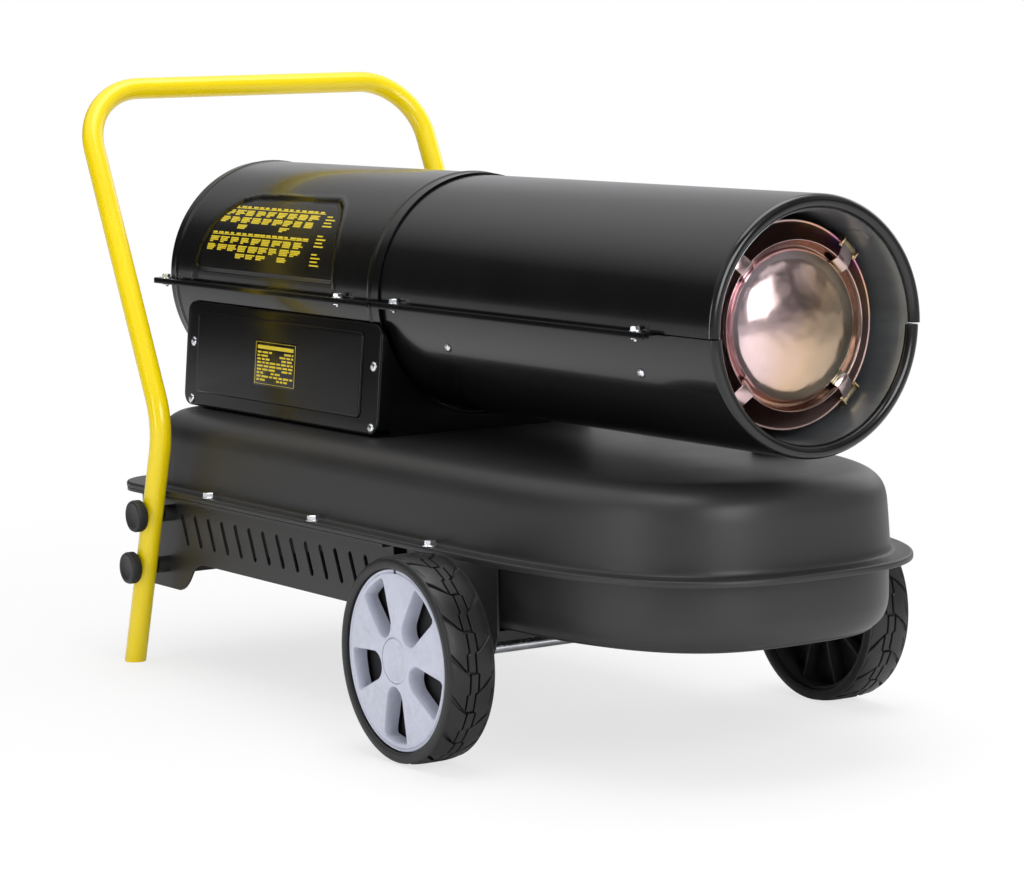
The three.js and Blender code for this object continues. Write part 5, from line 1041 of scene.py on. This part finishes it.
def skirt():
    """The louvred housing behind the tank, with its rear feet and the handle's spacers."""
    shape = Shape()
    top = 188.6
    lower = [(-656, 84), (-582, 84)] + [tuple(p[:2]) for p in smoothed(
        [(-582, 84), (-571, 88), (-560, 97), (-551, 108), (-541, 115.4), (-526, 118)], 4)][1:] + [
        (-135, 118), (-135, top), (-656, top)]
    c, s = math.cos(math.radians(-23)), math.sin(math.radians(-23))
    slot = arc(0, 15.4, 3.4, 0, 180, 8) + arc(0, -15.4, 3.4, 180, 360, 8)
    slots = [[(x - c * a + s * b, 153 + s * a + c * b) for a, b in slot]
             for x in (-567 + 29.5 * k for k in range(14))]
    wells = [[(leg_x(z) + x, z + y) for x, y in disc(4.6, 20)] for z in BOLT_LEVELS]
    for side in (-1, 1):
        low, high = sorted(-side * y for y in (188, 190))
        shape.add(slab(lower, low, high, slots + wells), FACING_Y)
    shape.add(slab(rear_round(190) + rear_round(188)[::-1], 84, top))
    shape.add(block(-527, -136, -187.6, 187.6, 118, 119.6))
    rim = [(x, y) for x, y, _ in plan(FLANGE, 0.6, 0) if x < -136]
    inner = [(-136, 189), *rear_round(189), (-136, -189)]
    shape.add(slab([(-136, 202.4), *rim, (-136, -202.4)] + inner[::-1], top - 3.2, top))
    for side in (-1, 1):
        for z in BOLT_LEVELS:
            for near, out, radius in ((183, 189.4, 8), (189.4, 203.8, 9)):
                low, high = sorted((side * near, side * out))
                shape.add(rod(radius, low, high, 40, 4.6), at(leg_x(z), 0, z) @ TO_Y)
    make("base_housing", shape, "satin_black", nodes="base_skirt", smooth=30)


def rear_round(half):
    """The skirt's outline round its rear corners, at a half width."""
    return arc(-656, 156, half - 156, 90, 180, 10) + arc(-656, -156, half - 156, 180, 270, 10)


def handle():
    """The bent tube and the four clamp knobs with their studs."""
    corners = [(leg_x(0), -216, 0), (-562.5, -216, 269), (-735, -216, 628)]
    path = bent(corners + [(x, -y, z) for x, y, z in reversed(corners)], (85, 72, 72, 85), 20)
    long = []
    for a, b in zip(path, path[1:]):
        pieces = max(1, int((b - a).length / 30))
        long += [a.lerp(b, k / pieces) for k in range(pieces)]
    long.append(path[-1])
    shape = Shape().add(tube(long, 11.7, 40, 1.5))
    floor = Shape().add(block(-800, -500, -300, 300, -40, 0.02))
    for z in BOLT_LEVELS:
        floor.add(rod(4.6, -240, 240, 24), at(leg_x(z), 0, z) @ TO_Y)
    make("handle_frame", shape, "yellow", nodes="handle_tube", cutter=floor, smooth=40)
    for side, name in SIDES:
        for z, level in zip(BOLT_LEVELS, ("upper", "lower")):
            place = at(leg_x(z), side * 227.7, z) @ facing(side)
            profile = [(0, -12.4), (11, -12.4), (12.5, -13.2), (15, -13.4), (16.4, -12.9), (17, -11.6),
                       (17, -3.4), (16.2, -2.2), (13.4, -0.4), (0, -0.4)]
            grip = Shape().add(revolve(profile, 72), place @ TO_Y)
            for k in range(36):
                grip.add(rod(0.55, -11, -3.6, 6), place @ TO_Y @ spin(10 * k) @ at(0, 16.9, 0))
            stud = [(0, 48)] + [(4 if k % 2 else 3.6, 47.6 - 1.35 * k) for k in range(36)]
            grip.add(revolve(stud + [(4, -0.6), (0, -0.6)], 20), place @ TO_Y, 1)
            make(f"grip_{name}_{level}", grip, ("black_plastic", "zinc"), f"clamp_knob_{name}_{level}",
                 f"knob_{name}_{level}", smooth=35)


# ------------------------------------------------------------------ axle and wheels

def axle():
    shape = Shape().add(revolve([(0, -268), (5, -268), (6, -267), (6, 267), (5, 268), (0, 268)], 48),
                        at(0, 0, AXLE_Z) @ TO_Y)
    for side in (-1, 1):
        for near, out in ((262, 268), (218, 224)):
            low, high = sorted((side * near, side * out))
            collar = [(6, low), (10.2, low), (11, low + 0.8), (11, high - 0.8), (10.2, high), (6, high)]
            shape.add(revolve(collar, 40), at(0, 0, AXLE_Z) @ TO_Y)
    make("axle_rod", shape, "zinc", nodes="axle")


def grown_by(loop, grow):
    """A loop moved outwards along its own normals."""
    out = []
    area = sum(a[0] * b[1] - a[1] * b[0] for a, b in zip(loop, loop[1:] + loop[:1]))
    way = grow if area > 0 else -grow
    for i, (x, y) in enumerate(loop):
        ax, ay = loop[i - 1]
        bx, by = loop[(i + 1) % len(loop)]
        length = math.hypot(bx - ax, by - ay) or 1
        out.append((x + way * (by - ay) / length, y - way * (bx - ax) / length))
    return out


def within(x, y, loop):
    return along_edge(x, y, loop)[0]


def lug(corners, low, extra=0.0):
    """One tread block, given as (degrees, across): its corners, then its faces, laid on the crown."""
    arc_mm = math.radians(98)
    flat = grown_by([(a * arc_mm, w) for a, w in corners], -0.35)
    loop = []
    for (ax, ay), (bx, by) in zip(flat, flat[1:] + flat[:1]):
        parts = max(1, round(math.hypot(bx - ax, by - ay) / 2.4))
        loop += [(ax + (bx - ax) * k / parts, ay + (by - ay) * k / parts) for k in range(parts)]
    top = grown_by(loop, -0.55)
    points = list(top)
    low_x, high_x = min(p[0] for p in top), max(p[0] for p in top)
    inset = grown_by(loop, -1.8)
    for i in range(int((high_x - low_x) / 3)):
        for j in range(-9, 10):
            x, y = low_x + 3 * i + 1.5 * (j % 2), 3.0 * j
            if within(x, y, inset):
                points.append((x, y))
    n = len(top)
    result = delaunay_2d_cdt([Vector(p) for p in points], [(i, (i + 1) % n) for i in range(n)], [], 0, 1e-4)
    places = [(p.x, p.y) for p in result[0]]
    out = []
    for layer, share in ((loop, 0.0), (loop, 0.84), (places, 1.0)):
        for x, w in layer:
            r = low + (tread(w) + extra - low) * share
            out.append((x / arc_mm, w, r))
    faces = walls([loop] * 3)[1]
    for face in result[2]:
        if within(sum(places[i][0] for i in face) / 3, sum(places[i][1] for i in face) / 3, top):
            faces.append(tuple(2 * n + i for i in face))
    faces.append(tuple(range(n)))
    return out, faces


def wrapped(block_of, turn, side):
    points, faces = block_of
    return [(r * math.cos(math.radians(a + turn)), w * side, r * math.sin(math.radians(a + turn)))
            for a, w, r in points], faces


def tread(w):
    return 99.9 - 3.2 * (abs(w) / 26) ** 4


def tyre_shape():
    shape = Shape()
    wall = [(87.9, -24.5), (88.6, -25.4), (90, -25.8), (93, -25.9), (95.6, -25.6), (97.2, -24.9), (98, -24),
            (98.1, -22.6), (96.4, -21), (96.3, 0)]
    profile = wall + [(r, -w) for r, w in reversed(wall[:-1])]
    shape.add(revolve(profile, 144), TO_Y)
    middle = lug([(0.5, -5.4), (9.8, -5.4), (10.8, -2.6), (21.8, -2.6), (21.8, 5.4), (11.8, 5.4),
                  (10.8, 2.6), (0.5, 2.6)], 95.8)
    wing = lug([(0.6, 6.6), (10.2, 6.6), (11.2, 3.8), (21.4, 3.8), (26, 14), (31.6, 23.6), (31.8, 25),
                (12.4, 25), (12.2, 23.6), (5.6, 14)], 95.4)
    nick = lug([(15, 19.2), (24.5, 21.6), (24.5, 22.8), (15, 20.6)], 97, 0.45)
    for k in range(16):
        turn = 22.5 * k
        shape.add(wrapped(middle, turn, 1))
        for side in (-1, 1):
            half = turn + (0 if side < 0 else 11.25)
            shape.add(wrapped(wing, half, side))
            shape.add(wrapped(nick, half, side))
    return shape


def petal(grow):
    """One window of the hub as (along, across), grown outwards; its axis is the x axis."""
    loop = arc(0, 0, 79.6, -12.1, 12.1, 11)
    loop += [(78, 18.2), (75.4, 20), (72, 20)]
    loop += [(72 - 3.4 * k, 20 - 0.62 * k) for k in range(1, 10)]
    loop += [(41 - 15.5 * math.sin(a), 14.2 * math.cos(a)) for a in (math.radians(15 * k) for k in range(13))]
    loop += [(x, -y) for x, y in reversed(loop[12:24])]
    return grown_by(loop, grow)


def hub_height(x, z):
    """How far the face stands out from the wheel's middle: a low rim, a groove and a shallow dome."""
    r = math.hypot(x, z)
    high = 25.2 - 2.4 * (r / 82) ** 2
    high -= bead(r, 84.2, 1.1, 1.2)
    turn = (math.degrees(math.atan2(z, x)) - 86 + 36) % 72 - 36
    u, v = r * math.cos(math.radians(turn)), r * math.sin(math.radians(turn))
    if 26 < u < 68:
        wide = 8.5 * (1 - (u - 26) / 42) + 0.5
        high += 1.2 * max(0.0, 1 - abs(v) / wide) * min(1.0, (u - 26) / 5)
    return high


HUB_R, HUB_BORE, HUB_BACK = 87.1, 22.3, 8.0


def hub_shape():
    """A domed pale face with five windows whose walls run back into the wheel."""
    windows, grown, edges, points = [], [], [], []

    def loop_of(loop):
        base = len(points)
        points.extend(loop)
        edges.extend((base + i, base + (i + 1) % len(loop)) for i in range(len(loop)))

    fillet = 1.7
    for k in range(5):
        c, s = math.cos(math.radians(50 + 72 * k)), math.sin(math.radians(50 + 72 * k))
        for grow in (0, 0.15, 0.5, 1.0, 1.7, 2.6):
            loop = [(c * x - s * z, s * x + c * z) for x, z in petal(grow)]
            loop_of(loop)
            if grow == 0:
                windows.append(loop)
        grown.append(loop)
    for radius, count in ((HUB_BORE, 72), (24, 72), (83, 144), (83.6, 144), (84.2, 144), (84.8, 144),
                          (85.6, 144), (86.4, 160), (HUB_R, 160)):
        loop_of(disc(radius, count))

    for radius in [26.5 + 2.8 * k for k in range(20)] + [81.8]:
        count = int(radius * 2.2)
        for a in ring(count, 7 * radius):
            x, z = radius * math.cos(a), radius * math.sin(a)
            if not any(within(x, z, loop) for loop in grown):
                points.append((x, z))
    result = delaunay_2d_cdt([Vector(p) for p in points], edges, [], 0, 1e-4)
    places, faces = result[0], []
    for face in result[2]:
        x = sum(places[i].x for i in face) / 3
        z = sum(places[i].y for i in face) / 3
        if HUB_BORE < math.hypot(x, z) < HUB_R and not any(within(x, z, loop) for loop in windows):
            faces.append(list(face))
    used = sorted({i for face in faces for i in face})
    shape = Shape()
    number = {i: k for k, i in enumerate(used)}

    def skin_at(x, z):
        high = hub_height(x, z)
        gap = min(along_edge(x, z, loop)[1] for loop in windows)
        if gap < fillet:
            high -= fillet - math.sqrt(max(fillet ** 2 - (fillet - gap) ** 2, 0))
        r = math.hypot(x, z)
        if r > 86.2:
            high -= 0.9 * ((r - 86.2) / 0.9) ** 2
        return high

    shape.add(([(places[i].x, -skin_at(places[i].x, places[i].y), places[i].y) for i in used],
               [[number[i] for i in face] for face in faces]))

    def shrunk(loop, scale):
        cx, cz = sum(p[0] for p in loop) / len(loop), sum(p[1] for p in loop) / len(loop)
        return [(cx + (x - cx) * scale, cz + (z - cz) * scale) for x, z in loop]

    def at_face(loop):
        return [(x, -skin_at(x, z), z) for x, z in loop]

    def at_depth(loop, depth):
        return [(x, -depth, z) for x, z in loop]

    for loop in windows:
        steps = ((0.985, 20), (0.95, 13), (0.935, HUB_BACK))
        shape.add(walls([at_face(loop)] + [at_depth(shrunk(loop, scale), depth) for scale, depth in steps]))
    outer, inner = disc(HUB_R, 160), disc(HUB_BORE, 72)
    loops = [outer, inner] + [shrunk(loop, 0.935) for loop in windows]
    tops = tessellate_polygon([[Vector((*p, 0)) for p in loop] for loop in loops])
    shape.add(([p for loop in loops for p in at_depth(loop, HUB_BACK)], [tuple(t) for t in tops]))
    for loop in (outer, inner):
        shape.add(walls([at_face(loop), at_depth(loop, HUB_BACK)]))
    shape.add(revolve([(HUB_BORE, -12), (HUB_BORE, -8), (15, -7), (15, 25), (6.5, 25), (6.5, -12)], 72), TO_Y)
    return shape


def inner_web():
    """The dark web behind the windows that joins the hub to the tyre."""
    shape = Shape().add(revolve([(15.3, -2.6), (84.6, -3), (84.6, 20), (87.5, 20), (87.5, -7.6), (86.4, -7.8),
                                 (84.8, -4), (15.3, -3.8)], 144), TO_Y)
    for k in range(10):
        shape.add(block(15, 85, -2.8, 13, -1.2, 1.2), spin(-36 * k, "Y"))
    shape.add(block(-0.9, 0.9, 83.4, 86.8, 20, 23.4), FACING_Y)
    return shape


def cap_shape():
    return Shape().add(revolve([(0, -25.3), (18, -25), (18.8, -25.5), (20.4, -25.5), (21.3, -25.1),
                                (21.9, -24.2), (21.9, -16), (20, -16), (20, -21.4), (0, -21.4)], 72), TO_Y)


def wheels():
    for side, name in SIDES:
        place = at(0, side * WHEEL_Y, AXLE_Z) @ facing(side)
        for shape, title, finish, node, smooth in (
                (tyre_shape(), "tyre_tread", "tyre", f"tyre_{name}", 28),
                (hub_shape(), "wheel_face", "pale_plastic", f"wheel_hub_{name}", 35),
                (inner_web(), "wheel_web", "black_plastic", (), 35),
                (cap_shape(), "wheel_cap", "pale_plastic", f"hub_cap_{name}", 35)):
            moved = Shape().add((shape.points, shape.faces), place)
            make(f"{title}_{name}", moved, finish, node, f"wheel_{name}", smooth)


# ------------------------------------------------------------------ studio

def studio():
    """A pale floor, brighter away from the heater, and four soft lamps."""
    floor = Nodes("floor")
    floor.color(floor.ramp(floor.noise(1.5), [(0.3, (0.88, 0.88, 0.88)), (0.7, (0.92, 0.92, 0.92))]))
    floor.set(Roughness=0.7)
    glow = floor.new("ShaderNodeEmission")
    glow.inputs["Color"].default_value = (1, 1, 1, 1)
    path = floor.new("ShaderNodeLightPath")
    mixer = floor.new("ShaderNodeMixShader")
    away = floor.new("ShaderNodeVectorMath", operation="LENGTH")
    floor.link(floor.place, away.inputs[0])
    share = floor.math("MULTIPLY", path.outputs["Is Camera Ray"],
                       floor.span(away.outputs["Value"], 0.55, 1.6, 0.72, 1.0))
    floor.link(share, mixer.inputs["Fac"])
    floor.link(floor.shader.outputs["BSDF"], mixer.inputs[1])
    floor.link(glow.outputs["Emission"], mixer.inputs[2])
    output = next(n for n in floor.tree.nodes if n.type == "OUTPUT_MATERIAL")
    floor.link(mixer.outputs["Shader"], output.inputs["Surface"])
    mesh = bpy.data.meshes.new("floor")
    mesh.from_pydata([(-30, -30, 0), (30, -30, 0), (30, 30, 0), (-30, 30, 0)], [], [(0, 1, 2, 3)])
    ground = bpy.data.objects.new("floor", mesh)
    mesh.materials.append(floor.material)
    bpy.context.collection.objects.link(ground)
    sky()
    for place, target, size, power in (
            ((0.2, 0.1, 2.5), (0, 0, 0.3), (2.4, 1.3), 30),
            ((2.5, -0.3, 1.2), (0.3, 0, 0.4), (1.2, 1.2), 26),
            ((0.25, -2.7, 0.7), (0.4, 0, 0.42), (0.5, 1.2), 11),
            ((-0.6, 2.8, 1.6), (0, 0, 0.4), (2.4, 1.4), 14)):
        data = bpy.data.lights.new("softbox", "AREA")
        data.shape, data.size, data.size_y, data.energy = "RECTANGLE", *size, power
        lamp = bpy.data.objects.new("softbox", data)
        lamp.location = place
        lamp.rotation_euler = (Vector(target) - Vector(place)).to_track_quat("-Z", "Y").to_euler()
        bpy.context.collection.objects.link(lamp)


def sky():
    """A studio's surroundings: white above, dark low down at the rear, lighter before the outlet."""
    world = bpy.data.worlds.new("world")
    bpy.context.scene.world = world
    world.use_nodes = True
    tree = Tree(world.node_tree, "Generated")
    split = tree.new("ShaderNodeSeparateXYZ")
    tree.link(tree.place, split.inputs["Vector"])

    def ramp(stops):
        colors = [((z + 1) / 2, (grey, grey, grey * 1.02)) for z, grey in stops]
        return tree.ramp(tree.span(split.outputs["Z"], -1, 1), colors)

    near = ramp([(-1, 0.3), (-0.02, 0.2), (0.02, 0.02), (0.36, 0.05), (0.62, 0.9), (1, 1.0)])
    far = ramp([(-1, 0.4), (0, 0.6), (0.4, 0.7), (0.7, 0.9), (1, 1.0)])
    rear = tree.mix(tree.span(split.outputs["Y"], 0.1, 0.4), near, far)
    front = ramp([(-1, 0.3), (0, 0.3), (0.3, 0.5), (1, 1.0)])
    clouds = tree.span(tree.noise(3.4, 2.0, 0.5), 0.42, 0.6)
    front = tree.mix(clouds, (0.12, 0.12, 0.12), front)
    both = tree.mix(tree.span(split.outputs["X"], 0.0, 0.45), rear, front)
    seen = tree.new("ShaderNodeLightPath").outputs["Is Camera Ray"]
    tree.link(tree.mix(seen, both, (1, 1, 1)), tree.tree.nodes["Background"].inputs["Color"])


casings()
instruction_label()
burner()
fan()
side_box()
tank()
skirt()
handle()
axle()
wheels()
studio()

for node, key in CARRIED.items():
    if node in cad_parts:
        for slot_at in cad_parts[node].material_slots:
            slot_at.material = FINISHES[key]
